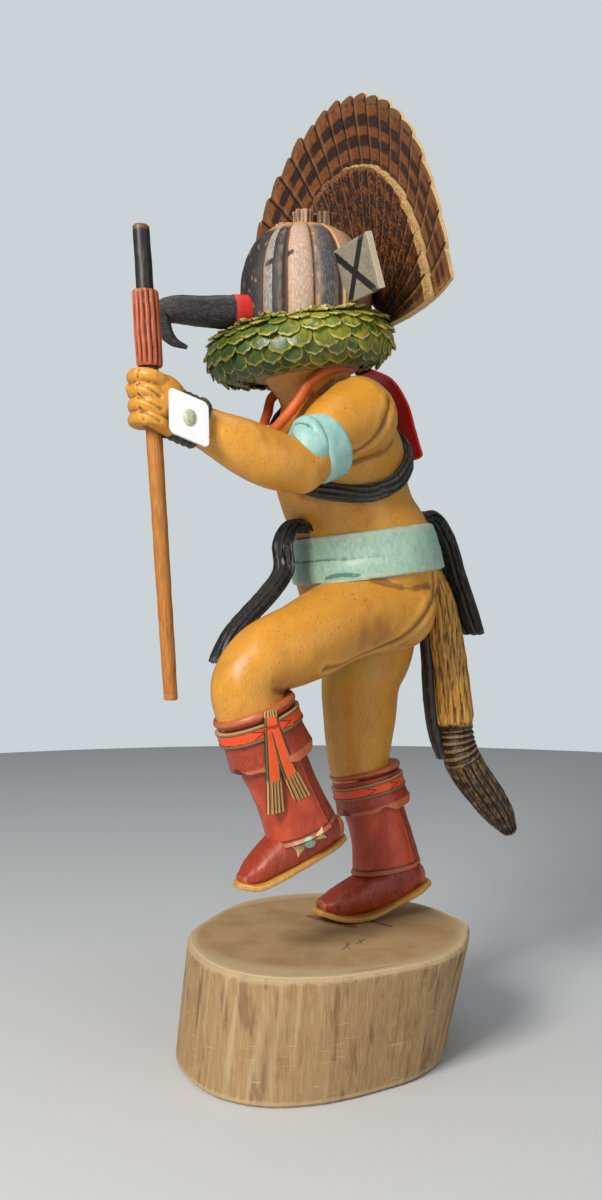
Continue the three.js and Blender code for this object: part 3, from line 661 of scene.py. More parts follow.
turquoisePaint = plainFinish(
    "turquoisePaint", (0.34, 0.52, 0.42), (0.12, 0.25, 0.19), (0.6, 0.68, 0.56), cloudSize=(1, 1, 1), dirt=0.9
)
creamPaint = plainFinish("creamPaint", (0.66, 0.46, 0.20), (0.33, 0.16, 0.05), (0.8, 0.66, 0.4), specks=0.4)
rawWood = plainFinish(
    "rawWood", (0.60, 0.38, 0.15), (0.22, 0.10, 0.035), (0.78, 0.58, 0.30), streak=0.8, shine=0.7, depth=0.1
)


# A tie: orange red between green and black edges, with small black darts.
def edgedTie():
    tie = wooded(
        "edgedTie", (0.83, 0.065, 0.006), (0.45, 0.03, 0.006), (0.88, 0.17, 0.03), streak=0.3, cloudy=0.25
    )
    u, v, _ = tie.strip()
    wobble = tie.noise(tie.spots((1.6, 1.6, 1.6)), 2) * 0.10 - 0.05
    fromMiddle = abs(v - 0.5 + wobble)
    lane = (u * 9) % 1
    dart = abs(abs(v - 0.5) * 1.5 + lane - 0.62)
    darts = (1 - dart.rise(0.03, 0.07)) * (lane > 0.22) * (fromMiddle < 0.26) * (((u * 4.5) % 1) < 0.5)
    colour = tie.mixed(darts, tie.base, (0.02, 0.012, 0.008))
    colour = tie.mixed((fromMiddle + wobble * 0.5).rise(0.335, 0.35), colour, (0.02, 0.12, 0.03))
    dots = (tie.noise(tie.spots((0.8, 0.8, 0.8)), 2) - 0.5) * 0.12
    colour = tie.mixed(
        abs(fromMiddle + dots - 0.325).rise(0.02, 0.035) * -1 + 1, colour, (0.012, 0.012, 0.01)
    )
    colour = tie.mixed((fromMiddle + dots * 0.6).rise(0.45, 0.47), colour, (0.012, 0.012, 0.01))
    colour = tie.mixed((v - dots * 0.4 < 0.025), colour, (0.62, 0.45, 0.22))
    return aged(tie, colour, specks=0.2, dirt=0.5, wear=0.2, shine=0.42, rubbed=(0.85, 0.3, 0.1))


# A tassel: green and black edges along it, and a tan fringe with dark lines at its end.
def tasselPaint():
    tassel = wooded("tasselPaint", (0.86, 0.10, 0.012), (0.5, 0.04, 0.008), (0.88, 0.2, 0.04), streak=0.3)
    u, v, _ = tassel.strip()
    across = tassel.node("ShaderNodeMath", {"operation": "COSINE"}, {0: u * (2 * math.pi)})["Value"]
    edge = abs(across)
    colour = tassel.mixed(edge.rise(0.7, 0.74), tassel.base, (0.04, 0.13, 0.03))
    colour = tassel.mixed(edge.near(0.68, 0.05, 0.02), colour, (0.015, 0.012, 0.01))
    colour = tassel.mixed(edge.rise(0.93, 0.96), colour, (0.015, 0.012, 0.01))
    fringe = (v + tassel.noise(tassel.spots((0.6, 0.6, 2.0)), 2) * 0.12 - 0.06).rise(0.60, 0.66)
    colour = tassel.mixed(fringe, colour, (0.62, 0.35, 0.11))
    threads = tassel.node("ShaderNodeMath", {"operation": "SINE"}, {0: across * 17})["Value"]
    colour = tassel.mixed(fringe * threads.rise(0.1, 0.5), colour, (0.035, 0.018, 0.012))
    return aged(tassel, colour, specks=0.1, dirt=0.5, wear=0.1, shine=0.45)


# Boot leather: a brighter wrap, and a darker grained panel at its front.
def bootPaint(name, brighter):
    tone, dark, light = (0.33, 0.030, 0.010), (0.10, 0.012, 0.006), (0.50, 0.10, 0.022)
    leather = wooded(name, tone, dark, light, streak=0.75, cloudy=0.6, cloudSize=(7, 7, 12))
    u, v, _ = leather.strip()
    colour = leather.base
    if brighter:
        panel = u.near(0.245, 0.175, 0.012)
        warm = leather.mixed(leather.clouds.rise(0.35, 0.65), (0.52, 0.062, 0.014), (0.36, 0.036, 0.012))
        warm = leather.mixed(leather.fine.rise(0.5, 0.75) * 0.4, warm, (0.60, 0.14, 0.03))
        colour = leather.mixed(1 - panel, colour, warm)
        hem = leather.noise(leather.spots((3, 3, 3))) * 0.02
        colour = leather.mixed((v + hem).rise(0.945, 0.955), colour, (0.16, 0.018, 0.008))
    return aged(leather, colour, specks=0.35, dirt=0.85, wear=0.55, shine=0.42, rubbed=(0.60, 0.19, 0.07))


edgedTiePaint = edgedTie()
tasselFinish = tasselPaint()
bootShaft = bootPaint("bootShaft", True)
bootLeather = bootPaint("bootLeather", False)


# The mask: painted upright bands by their bearing from the front, bare wood behind,
# and black brush strokes for eyes.
def maskFinish():
    wood = wooded(
        "maskPaint", (0.60, 0.36, 0.19), (0.30, 0.13, 0.05), (0.76, 0.55, 0.33), streak=0.6, cloudy=0.3
    )
    u, v, _ = wood.strip()
    x, y, z = wood.axes(wood.spots())
    turn = abs((u * 360 + 90) % 360 - 180)
    wobble = (wood.noise(wood.spots((1.5, 1.5, 7))) - 0.5) * 2.4
    turn = turn + wobble
    pale = wood.noise(wood.spots((0.3, 0.3, 1.6)), detail=4)
    grey = wood.mixed(pale.rise(0.35, 0.7), (0.15, 0.14, 0.135), (0.44, 0.40, 0.38))
    pink = wood.mixed(pale.rise(0.35, 0.7), (0.40, 0.25, 0.17), (0.62, 0.47, 0.37))
    slate = wood.mixed(pale.rise(0.42, 0.75), (0.055, 0.055, 0.062), (0.22, 0.21, 0.21))
    black = wood.mixed(pale.rise(0.5, 0.8), (0.014, 0.013, 0.014), (0.085, 0.08, 0.08))
    lobe = mask["lobe"]
    colour = wood.base
    for reach, paint in ((4, slate), (3, pink), (2, black), (1.5, grey), (1, black)):
        colour = wood.mixed(turn < reach * lobe, colour, paint)
    bare = wood.noise(wood.spots((2.2, 2.2, 4.5)), detail=3).rise(0.62, 0.67) * (turn < lobe)
    colour = wood.mixed(bare, colour, (0.24, 0.12, 0.05))
    ragged = wood.noise(wood.spots((0.5, 0.5, 0.5), None), detail=2) * 1.6 - 0.8
    height = z - soleHeight
    slash = wood.stroke(turn * 0.43, height + ragged, (31 * 0.43, 246.6), (54 * 0.43, 250.2), 1.0, 0.3)
    colour = wood.mixed(slash, colour, (0.012, 0.012, 0.013))
    for k in (1, 2, 3, 4):
        seam = turn.near(k * lobe, 1.1, 0.5)
        colour = wood.mixed(seam * 0.8, colour, (0.10, 0.035, 0.035))
        raw = turn.near(k * lobe + 2.6, 1.5, 1.0) * wood.noise(wood.spots((1, 1, 5))).rise(0.45, 0.6)
        colour = wood.mixed(raw * 0.75, colour, (0.55, 0.25, 0.06))
    crest = (height + ragged * 1.5 + wood.clouds * 4).rise(263, 265.5)
    colour = wood.mixed(crest * 0.9, colour, (0.56, 0.27, 0.08))
    colour = wood.mixed(height < 222, colour, wood.mixed(pale, (0.28, 0.12, 0.02), (0.10, 0.11, 0.015)))
    return aged(wood, colour, specks=0.5, dirt=0.7, wear=0.35, shine=0.6, depth=0.09, rubbed=(0.6, 0.38, 0.2))


# Leaves: olive and yellow green, cream on the lifted rims, deep green and orange brown between; the deep
# green in the hollows between leaves and on the ruff's underside is painted shade.
def leafFinish():
    leaf = wooded(
        "leafPaint", (0.16, 0.22, 0.015), (0.03, 0.075, 0.008), (0.50, 0.42, 0.06), streak=0.6, cloudy=0.3
    )
    u, v, _ = leaf.strip()
    x, y, z = leaf.axes(leaf.spots())
    patches = leaf.noise(leaf.spots((3.2, 3.2, 3.2)), detail=3)
    blots = leaf.noise(leaf.spots((1.4, 1.4, 1.4)), detail=3)
    tone = leaf.kept("tone")
    colour = leaf.mixed((patches * 0.7 + tone * 0.4).rise(0.5, 0.72), leaf.base, (0.36, 0.33, 0.03))
    colour = leaf.mixed(
        ((1 - patches) * 0.7 + tone * 0.25).rise(0.5, 0.62) * 0.85, colour, (0.015, 0.12, 0.02)
    )
    colour = leaf.mixed(blots.rise(0.58, 0.68) * 0.7, colour, (0.42, 0.19, 0.02))
    front = (y * -1 + patches * 14).rise(28, 42)
    colour = leaf.mixed(
        front * 0.75, colour, leaf.mixed(blots.rise(0.45, 0.65), (0.012, 0.075, 0.012), (0.16, 0.14, 0.02))
    )
    # Painted shade: the ruff's underside goes deep green, and its rims there lose their cream.
    under = (z * -1 + patches * 6 + soleHeight + 217).rise(1, 7)
    colour = leaf.mixed(under * 0.7, colour, (0.02, 0.055, 0.01))
    rim = (v + abs(u - 0.5) * abs(u - 0.5) * 0.9 + blots * 0.22).rise(0.98, 1.06)
    cream = leaf.mixed(patches.rise(0.4, 0.6), (0.66, 0.55, 0.24), (0.44, 0.40, 0.07))
    colour = leaf.mixed(rim * (1 - front * 0.7) * (1 - under * 0.6), colour, cream)
    # The deep green in the hollows between leaves is painted shade as well as dirt.
    return aged(
        leaf, colour, specks=0.3, dirt=0.9, wear=0.35, shine=0.34, depth=0.12, soil=(0.012, 0.045, 0.008)
    )


# The fan: burnt bands across orange brown feathers; fine pale lines between them.
def fanFinish(name, inner):
    tone, dark, light = (0.185, 0.055, 0.011), (0.05, 0.014, 0.005), (0.30, 0.11, 0.024)
    wood = wooded(
        name, tone, dark, light, grainSize=(0.5, 0.5, 5), streak=0.7, cloudy=0.5, cloudSize=(9, 9, 9)
    )
    u, v, _ = wood.strip()
    feather = (u * fan["feathers"]) % 1
    which = wood.node("ShaderNodeMath", {"operation": "FLOOR"}, {0: u * fan["feathers"]})["Value"]
    apart = wood.node("ShaderNodeMath", {"operation": "SINE"}, {0: which * 12.9})["Value"]
    uneven = (wood.noise(wood.spots((4, 4, 4)), detail=3) - 0.5) * 0.03
    burnt = wood.mixed(wood.fine, (0.012, 0.004, 0.003), (0.05, 0.016, 0.008))
    colour = wood.base
    if inner:
        blots = wood.noise(wood.spots((2.0, 4, 3.2)), detail=4, roughness=0.7)
        colour = wood.mixed(blots.rise(0.42, 0.52), colour, burnt)
        colour = wood.mixed((1 - blots).rise(0.56, 0.7) * 0.5, colour, (0.24, 0.05, 0.014))
        barb = (v * 26 + abs(feather - 0.5) * 2.6 + uneven * 20) % 1
        cuts = barb.near(0.5, 0.10, 0.06) * wood.noise(wood.spots((2.4, 2.4, 2.4))).rise(0.42, 0.52)
        colour = wood.mixed(cuts * 0.85, colour, (0.010, 0.004, 0.003))
        side = (1 - u * 2).rise(0.02, 0.1)
        strip = (v + uneven * 0.6 - 0.985 + (0.5 - u) * (0.5 - u) * 0.5).rise(0.0, 0.008) * side
        ticks = wood.noise(wood.spots((0.9, 0.9, 0.9)), detail=3)
        pale = wood.mixed(ticks.rise(0.5, 0.62), (0.62, 0.40, 0.15), (0.20, 0.08, 0.02))
        colour = wood.mixed(strip, colour, pale)
        height = wood.fine * 0.4 - cuts * 1.6
    else:
        radius = v * 73.1 + 11 + apart * 0.5 + uneven * 46
        for low, high in ((58, 62.4), (66.4, 70.2), (73.4, 77.4), (81, 90)):
            colour = wood.mixed(radius.near((low + high) / 2, (high - low) / 2, 0.35), colour, burnt)
        seam = abs(feather - 0.5).rise(0.468, 0.49)
        colour = wood.mixed(seam * 0.6, colour, (0.02, 0.007, 0.004))
        pale = feather.near(0.075, 0.018, 0.012) * wood.noise(wood.spots((3, 3, 3))).rise(0.48, 0.6)
        colour = wood.mixed(pale * 0.75, colour, (0.50, 0.27, 0.08))
        cuts = wood.noise(wood.spots((0.6, 0.6, 2.2)), detail=2).rise(0.6, 0.7)
        colour = wood.mixed(cuts * 0.5, colour, (0.03, 0.01, 0.005))
        height = wood.fine * 0.5 - cuts * 0.8
    aged(
        wood,
        colour,
        specks=0.3,
        dirt=0.9,
        wear=0.35,
        shine=0.42,
        soil=(0.008, 0.003, 0.002),
        rubbed=(0.45, 0.20, 0.06),
    )
    wood.relief(height, 0.3)
    return wood


# The beak: charcoal with a flat red ring at the mask.
def beakFinish():
    beakWood = wooded(
        "beakPaint", (0.022, 0.020, 0.022), (0.008, 0.007, 0.008), (0.14, 0.13, 0.13), (0.4, 2.0, 0.4)
    )
    x, y, z = beakWood.axes(beakWood.spots())
    fine = beakWood.noise(beakWood.spots((0.4, 1.6, 0.4)), detail=4)
    # Painted sheen: grey streaks in the black paint, more of them towards the beak's top.
    colour = beakWood.mixed(
        (fine + (z - soleHeight - 232) * 0.02).rise(0.58, 0.78) * 0.7, beakWood.base, (0.20, 0.185, 0.18)
    )
    red = (y + beakWood.clouds * 0.6).rise(-39.3, -39.1)
    colour = beakWood.mixed(red, colour, beakWood.mixed(fine, (0.62, 0.012, 0.008), (0.78, 0.03, 0.015)))
    return aged(beakWood, colour, specks=0, dirt=0.7, wear=0.25, shine=0.5, depth=0.1)


# The ear plates: a grey wash, two black brushed bars that cross, cream on the cut edge.
def earFinish():
    wash = wooded(
        "earPaint", (0.27, 0.235, 0.18), (0.13, 0.10, 0.07), (0.42, 0.37, 0.28), (2.2, 0.5, 0.5), streak=0.5
    )
    u, v, _ = wash.strip()
    out, up = u * (ear["width"] + ear["sink"]), v * ear["height"]
    ragged = (wash.noise(wash.spots((0.5, 0.5, 1.2)), detail=3) - 0.5) * 0.9
    far, foot = ear["width"] + ear["sink"], ear["sink"]
    colour = wash.base
    for start, end in (
        ((0.9 * far, ear["height"] + 1), (foot, -1)),
        ((foot - 1, 0.88 * ear["height"]), (0.88 * far, 0.4)),
    ):
        colour = wash.mixed(
            wash.stroke(out + ragged, up + ragged, start, end, 1.5, 0.12), colour, (0.012, 0.011, 0.012)
        )
    colour = wash.mixed(u > 0.992, colour, wash.mixed(wash.fine, (0.50, 0.43, 0.31), (0.70, 0.62, 0.47)))
    return aged(wash, colour, specks=0.3, dirt=0.4, wear=0.15, shine=0.6, depth=0.1)


# The staff: orange brown shaft, red brown fluted grip, black tip.
def staffFinish():
    wood = wooded(
        "staffWood",
        (0.42, 0.14, 0.022),
        (0.13, 0.035, 0.008),
        (0.60, 0.27, 0.05),
        (0.45, 0.45, 9),
        streak=0.8,
    )
    x, y, z = wood.axes(wood.spots())
    height = z - soleHeight - leftGrip[2] + (wood.fine - 0.5) * 0.8
    ramp = wood.clouds.rise(0.4, 0.6)
    colour = wood.mixed(ramp * 0.4, wood.base, (0.50, 0.20, 0.03))
    gripFoot = staff["gripFoot"] - 0.4
    grip = wood.mixed(wood.fine.rise(0.3, 0.75), (0.30, 0.026, 0.012), (0.50, 0.085, 0.03))
    colour = wood.mixed(height > gripFoot, colour, grip)
    black = wood.mixed(wood.fine.rise(0.55, 0.8), (0.012, 0.011, 0.013), (0.07, 0.065, 0.07))
    colour = wood.mixed(height > gripFoot + staff["gripLength"] + 0.2, colour, black)
    return aged(
        wood, colour, specks=0.5, dirt=0.85, wear=0.25, shine=0.4, depth=0.1, soil=(0.03, 0.006, 0.004)
    )


# The pelt: ochre with deep upright grain; its tail is burnt dark below a set of ribs.
def peltFinish():
    fur = wooded(
        "peltStain",
        (0.56, 0.26, 0.035),
        (0.20, 0.065, 0.012),
        (0.76, 0.46, 0.10),
        (0.7, 0.7, 9),
        streak=0.95,
    )
    x, y, z = fur.axes(fur.spots())
    deep = fur.noise(fur.spots((0.9, 0.9, 16)), detail=3).rise(0.56, 0.62)
    colour = fur.mixed(deep * 0.75, fur.base, (0.10, 0.035, 0.01))
    height = z - soleHeight + fur.clouds * 5
    char = fur.mixed(
        fur.noise(fur.spots((1.2, 1.2, 4)), detail=4).rise(0.5, 0.74),
        (0.014, 0.010, 0.008),
        (0.17, 0.08, 0.03),
    )
    colour = fur.mixed(1 - height.rise(77, 78.5), colour, char)
    aged(
        fur,
        colour,
        specks=0.6,
        dirt=0.9,
        wear=0.45,
        shine=0.45,
        soil=(0.03, 0.012, 0.005),
        rubbed=(0.62, 0.36, 0.10),
    )
    fur.relief(fur.fine * 0.5 - deep * 1.0, 0.35)
    return fur


# The log: tan smooth top with a stain at the toe; upright grain and scratches on its side, and painted shade
# as darker brown streaks on the side away from the key light.
def logFinish():
    wood = wooded(
        "logWood", (0.40, 0.245, 0.105), (0.23, 0.115, 0.045), (0.54, 0.37, 0.18), (0.8, 0.8, 9), streak=0.5
    )
    x, y, z = wood.axes(wood.spots())
    top = z.rise(log["height"] - 0.6, log["height"] - 0.2)
    dust = wood.noise(wood.spots((14, 14, 14)), detail=4)
    tan = wood.mixed(dust.rise(0.4, 0.65), (0.43, 0.285, 0.135), (0.36, 0.225, 0.095))
    tan = wood.mixed(
        wood.noise(wood.spots((0.9, 0.9, 0.9)), detail=3).rise(0.55, 0.75) * 0.25, tan, (0.50, 0.35, 0.19)
    )
    fromMiddle = wood.spots((40, 44, 400))
    radius = wood.node("ShaderNodeVectorMath", {"operation": "LENGTH"}, {0: fromMiddle})["Value"]
    tan = wood.mixed((radius + dust * 0.2).rise(1.2, 1.36) * 0.6, tan, (0.56, 0.43, 0.26))
    for start, end, width, depth, tone in log["stains"]:
        edge = (wood.noise(wood.spots((2.4, 2.4, 2.4)), detail=3) - 0.5) * (1.6 * width)
        spot = wood.stroke(x + edge, y + edge, start, end, width, width * 0.25)
        tan = wood.mixed(spot * depth, tan, tone)
    streaks = wood.noise(wood.spots((5, 5, 26)), detail=4).rise(0.56, 0.66)
    side = wood.mixed(streaks * 0.55, wood.base, (0.16, 0.07, 0.03))
    # Painted shade: darker brown streaks on the side turned away from the key light.
    shadedSide = (y * 0.7 + x * 0.3 + wood.clouds * 30).rise(38, 62)
    shadedStreaks = shadedSide * wood.noise(wood.spots((3, 3, 20)), detail=3).rise(0.45, 0.6)
    side = wood.mixed(shadedStreaks * 0.7, side, (0.13, 0.06, 0.028))
    scratch = wood.noise(wood.spots((12, 12, 0.5), (0.0, 0.12, 0.6)), detail=2).rise(0.69, 0.71)
    scratch = scratch * (1 - z.rise(26, 32))
    side = wood.mixed(scratch * 0.6, side, (0.66, 0.52, 0.33))
    rings = wood.noise(wood.spots((0.25, 0.25, 12)), detail=3)
    colour = wood.mixed(top, side, tan)
    aged(wood, colour, specks=0.3, dirt=0.5, wear=0.45, shine=0.78, rubbed=(0.62, 0.48, 0.29))
    wood.relief((wood.fine * 0.6 + rings * 0.6) * (1 - top * 0.8) + dust * 0.2, 0.3)
    return wood


print("stage: body")

torsoStations = [
    [0, 18, 116, 20, 20],
    [0, 17.6, 125, 27, 25],
    [0, 17, 135, 30, 27],
    [0, 16.4, 144, 29, 25.8],
    [0, 11.6, 154.5, 26.2, 24],
    [0, 9.2, 160, 26, 23.8],
    [0, 6, 169, 26.5, 24.2],
    [0, 3.8, 180, 28.5, 24.6],
    [0, 0.8, 191, 27, 20.8],
    [0, -3, 199.5, 20, 16.5],
    [0, -4.6, 203.5, 15, 14.2],
    [0, -7, 210, 16.5, 16],
    [0, -9, 217, 21, 21],
]

figure = {
    "raisedLeg": [
        [13, 22, 122.2, 17, 16.4],
        [19.4, -3, 118.2, 15.4, 15.2],
        [24, -22, 110.2, 14.2, 14.5],
        [25, -37.2, 104, 12.9, 13.2],
        [25, -43.8, 96, 12.2, 12.2],
        [25, -42, 87.5, 12.2, 12.6],
        [25, -38.5, 80, 11.8, 12.2],
    ],
    "standingLeg": [
        [-12.5, 26.5, 128, 16.5, 17.2],
        [-13, 25.3, 107, 16.6, 18],
        [-13, 21.4, 93, 15, 16],
        [-13, 20.7, 79, 13.8, 14.8],
        [-13, 20.3, 69, 12.8, 13.6],
        [-13, 20.4, 61, 12, 12.4],
        [-12.8, 22.5, 53, 11.8, 12],
    ],
    "upperArm": [
        [24.6, 0.6, 191.6, 14.4, 15],
        [29, -10.4, 186, 12, 12.6],
        [32.6, -20, 178.4, 10.2, 10.6],
        [34.4, -27, 171.4, 9, 9.2],
    ],
    "forearm": [
        [34.6, -27.5, 170.8, 9, 9.2],
        [35, -39, 173.2, 9.6, 10],
        [34, -50, 177.6, 8.8, 9.2],
        [32, -60, 182, 7, 7.4],
        [31, -67.5, 185, 6.5, 6.8],
        [30, -76, 188.4, 6.6, 7.6],
    ],
    "rightArm": [
        [-24, 0, 190.5, 14, 14.4],
        [-31.5, 6, 181, 11.6, 12],
        [-37.5, 13, 167, 9.8, 10.2],
        [-41, 18.5, 154, 8.8, 9.2],
        [-42.2, 18.6, 142, 8.4, 8.8],
        [-42.4, 17, 131, 7, 7.2],
        [-42.4, 15.8, 122, 6.2, 6.6],
    ],
    "voxel": 0.85,
    "blend": 7,
}


# The trunk and legs as their own forms, and the arms.
def trunkShapes():
    return [
        limb(torsoStations, sides=90, rows=90),
        limb(figure["raisedLeg"], rows=60, domes=(14, 0)),
        limb(figure["standingLeg"], rows=60),
    ]


def armShapes():
    return [
        limb(figure["upperArm"], domes=(13, 7.5)),
        limb(figure["forearm"], domes=(8.5, 0)),
        limb(figure["rightArm"], domes=(13, 0)),
    ]


# A skin to cast rays on, in the doll's own millimetres.
def treeOf(shapes):
    verts, faces, offset = [], [], 0
    for shape in shapes:
        verts.append(shape["verts"])
        faces += (shape["quads"] + offset).tolist() + (shape["tris"] + offset).tolist()
        offset += len(shape["verts"])
    return BVHTree.FromPolygons(np.concatenate(verts).tolist(), faces)


# The photograph's camera: what it sees at a pixel, on a skin.
photo = {
    "width": 602,
    "height": 1200,
    "focal": 1152,
    "place": (394.4, -195.3, 169.0),
    "heading": (-0.906, 0.423, 0.0),
}


def seenAt(tree, x, y):
    heading = Vector(photo["heading"])
    right = heading.cross(Vector((0, 0, 1)))
    aim = heading + right * ((x - photo["width"] / 2) / photo["focal"])
    aim.z -= (y - photo["height"] / 2) / photo["focal"]
    start = Vector(photo["place"]) - Vector((0, 0, soleHeight))
    point, normal = tree.ray_cast(start, aim.normalized())[:2]
    return np.array(point), np.array(normal)


# Every place that the camera sees through these pixels, leaving out those that miss.
def seenThrough(tree, pixels):
    found = [seenAt(tree, *pixel)[0] for pixel in pixels]
    return [place for place in found if place.shape == (3,)]


def skinTree(piece):
    faces = [list(face.vertices) for face in piece.data.polygons]
    return BVHTree.FromPolygons((coordinates(piece.data) / mm - (0, 0, soleHeight)).tolist(), faces)


# How far every point of a skin lies from a line drawn through places on it.
def awayFrom(piece, places):
    co = coordinates(piece.data) / mm - (0, 0, soleHeight)
    steps = 12 * len(places)
    path = [curveAt(np.array(places), k / steps) for k in range(steps + 1)]
    away = np.full(len(co), 1e9)
    for a, b in zip(path, path[1:]):
        run = b - a
        share = ((co - a) @ run / max(run @ run, 1e-9)).clip(0, 1)
        away = np.minimum(away, np.linalg.norm(co - a - share[:, None] * run, axis=1))
    return away


# Scores a line: points near it sink, with a soft ridge on both sides.
def score(piece, places, width, depth, ridge=0.0):
    if len(places) < 2:
        return
    away = awayFrom(piece, places)
    rise = ridge * np.exp(-(((away - 2.1 * width) / width) ** 2)) - depth * np.exp(-((away / width) ** 2))
    mesh = piece.data
    co = coordinates(mesh) + normalsOf(mesh) * rise[:, None] * mm
    mesh.vertices.foreach_set("co", co.astype(np.float32).ravel())
    mesh.update()


scores = {
    "thighFold": [
        (433, 574), (433, 590), (430, 606), (418, 624), (398, 640), (374, 650), (348, 662), (326, 669)
    ],
    "shoulderFold": [(345, 455), (356, 453), (368, 445), (381, 430), (388, 414), (390, 400)],
    "chestFold": [(322, 392), (332, 383), (346, 378)],
}

body = blended("carvedBody", trunkShapes() + armShapes(), figure["voxel"], figure["blend"])
bodyTree = skinTree(body)
for name, width, depth, ridge in (
    ("thighFold", 1.3, 0.55, 0.4),
    ("shoulderFold", 1.5, 0.9, 0.15),
    ("chestFold", 1.2, 0.6, 0.0),
):
    score(body, seenThrough(bodyTree, scores[name]), width, depth, ridge)
carveMarks(body, lambda p: 0.18 * grain(p, 5, 9) + 0.05 * grain(p, 1.1, 6))
body.data.materials.clear()
body.data.materials.append(skinStain.material)
feelHollows(withNormalsOut(body, 180), rounds=14, depth=0.3)
place(body, "painted_wood", "carved_figure")

trunkTree = treeOf(trunkShapes())
torsoTree = treeOf(trunkShapes()[:1])


def torsoAxis(h):
    heights = [station[2] for station in torsoStations]
    return np.array([np.interp(h, heights, [station[k] for station in torsoStations]) for k in (0, 1)] + [h])


# The torso's skin at a height and a bearing, 0 at the doll's left and 90 degrees at its back.
def torsoSkin(h, bearing):
    outward = Vector((math.cos(bearing), math.sin(bearing), 0))
    start = Vector(torsoAxis(h)) + outward * 80
    hit = torsoTree.ray_cast(start, -outward)[0]
    return np.array(hit)


print("stage: hands")

leftGrip = np.array([28.6, -78.9, 191.6])
hands = {"fingerHeights": [198.6, 193.8, 189.3, 184.7], "voxel": 0.42, "blend": 2}


def leftFist():
    x, y, h = leftGrip
    wrist = (30.2, -74, 187.8)
    shapes = [
        limb(
            [
                [*wrist, 6.2, 7.8],
                [x + 2.6, (wrist[1] + y) / 2 - 0.6, (wrist[2] + h) / 2 + 0.4, 7.0, 9.2],
                [x + 2, y - 1.6, h + 0.2, 6.6, 8.6],
            ],
            square=2.8,
            domes=(0, 2),
        )
    ]
    for height, reach in zip(hands["fingerHeights"], (0.6, 0.4, 0.2, 0)):
        finger = [
            [x + 4.6, y + 4.6, height - 3.6, 2.3, 3.3],
            [x + 5.9, y - 2.4, height - 0.6, 2.45, 3.6],
            [x + 1, y - 5 - reach, height, 2.5, 2.9],
            [x - 4.8, y - 3, height - 0.3, 2.4, 3],
            [x - 5, y + 2.4, height - 0.6, 2.3, 2.6],
        ]
        shapes.append(limb(finger, sides=28, side=(0, 0, 1), domes=(1.5, 1.5), square=2.3))
    top = max(hands["fingerHeights"])
    thumb = [
        [x - 4.6, y + 7.5, top - 7, 2.8, 2.8],
        [x - 7, y + 1, top - 4.4, 2.6, 2.7],
        [x - 6.6, y - 5, top - 2.8, 2.2, 2.3],
    ]
    shapes.append(limb(thumb, sides=24, side=(0, 0, 1), domes=(1, 2)))
    return shapes


def rightHand():
    palm = [
        [-42.4, 15.8, 122, 5.6, 6.8],
        [-42.2, 15.4, 116, 6, 8.4],
        [-42, 15, 109, 5.8, 8.2],
    ]
    shapes = [limb(palm, square=2.8, domes=(0, 3))]
    for step in (-6, -2, 2, 6):
        finger = [
            [-47.4, 15.2 + step, 116, 2.0, 2.3],
            [-47.6, 15.2 + step, 109, 2.2, 2.3],
            [-43.6, 15 + step, 105.8, 2.1, 2.2],
            [-38.4, 14.8 + step, 107.6, 2.0, 2.2],
        ]
        shapes.append(limb(finger, sides=20, side=(0, 1, 0), domes=(1, 2)))
    thumb = [[-40, 8.6, 118, 2.4, 2.4], [-38.4, 7, 112, 2.4, 2.4], [-37.4, 10, 106.8, 2.1, 2.1]]
    shapes.append(limb(thumb, sides=20, side=(0, 1, 0), domes=(1, 2)))
    return shapes


handCreases = [
    [(139, 369), (137, 377), (138, 384)],
    [(138, 384), (150, 389), (160, 397)],
    [(139, 397), (150, 402), (161, 409)],
    [(140, 410), (151, 415), (160, 421)],
    [(138, 384), (139, 397), (141, 410), (143, 420)],
]

for name, shapes in (("leftFist", leftFist()), ("rightHand", rightHand())):
    hand = blended(name, shapes, hands["voxel"], hands["blend"])
    if name == "leftFist":
        handTree = skinTree(hand)
        for crease in handCreases:
            score(hand, seenThrough(handTree, crease), 0.55, 0.5, 0.12)
    hand.data.materials.clear()
    hand.data.materials.append(skinStain.material)
    carveMarks(hand, lambda p: 0.1 * grain(p, 1.9, 4))
    feelHollows(withNormalsOut(hand, 180), rounds=12, depth=0.25)
    place(hand, "painted_wood", "carved_figure")

print("stage: belt, straps and cord")

dress = {"beltFoot": 134.4, "beltTop": 151.8, "beltProud": 1.6, "strapWidth": 6.2, "strapThickness": 4.2}


def plainPiece(
    name, shapes, finish, slot, sharpAngle=42, rounds=8, depth=0.2, nodes=("carved_figure",), marks=0.0
):
    finishes = finish if isinstance(finish, (list, tuple)) else [finish]
    piece = meshOf(name, shapes, [one.material for one in finishes])
    withNormalsOut(piece, sharpAngle)
    if marks:
        carveMarks(piece, lambda p: marks * (grain(p, 3.2, 6) + 0.5 * grain(p, 1.1, 3)))
    feelHollows(piece, rounds, depth)
    return place(piece, slot, *nodes)


# A thin piece laid on a skin: an outline round a middle, raised from its edge to its middle.
def laidOn(tree, middle, out, way, outline, height, sink=0.5, rings=10, crown=6, finish=0):
    out = unit(np.array(out, float))
    along = unit(np.array(way, float) - out * np.dot(way, out))
    up = np.cross(out, along)
    reach = 14

    def skin(a, b):
        start = Vector(middle + along * a + up * b + out * reach)
        hit = tree.ray_cast(start, Vector(-out), 2 * reach)[0]
        return np.array(hit) if hit else np.array(middle + along * a + up * b)

    loops, alongs = [], []
    for k in range(1, rings + 1):
        share = k / rings
        rise = height * (1 - share ** crown) ** 0.5 if share < 1 else height * 0.12
        loops.append([skin(a * share, b * share) + out * rise for a, b in outline])
        alongs.append(share)
    loops.append([skin(a, b) - out * sink for a, b in outline])
    alongs.append(1.0)
    ends = [skin(0, 0) + out * height, np.array(loops[-1]).mean(0) - out * 0.2]
    return ringsToShape([np.array(loop) for loop in loops], alongs, ends, finish)


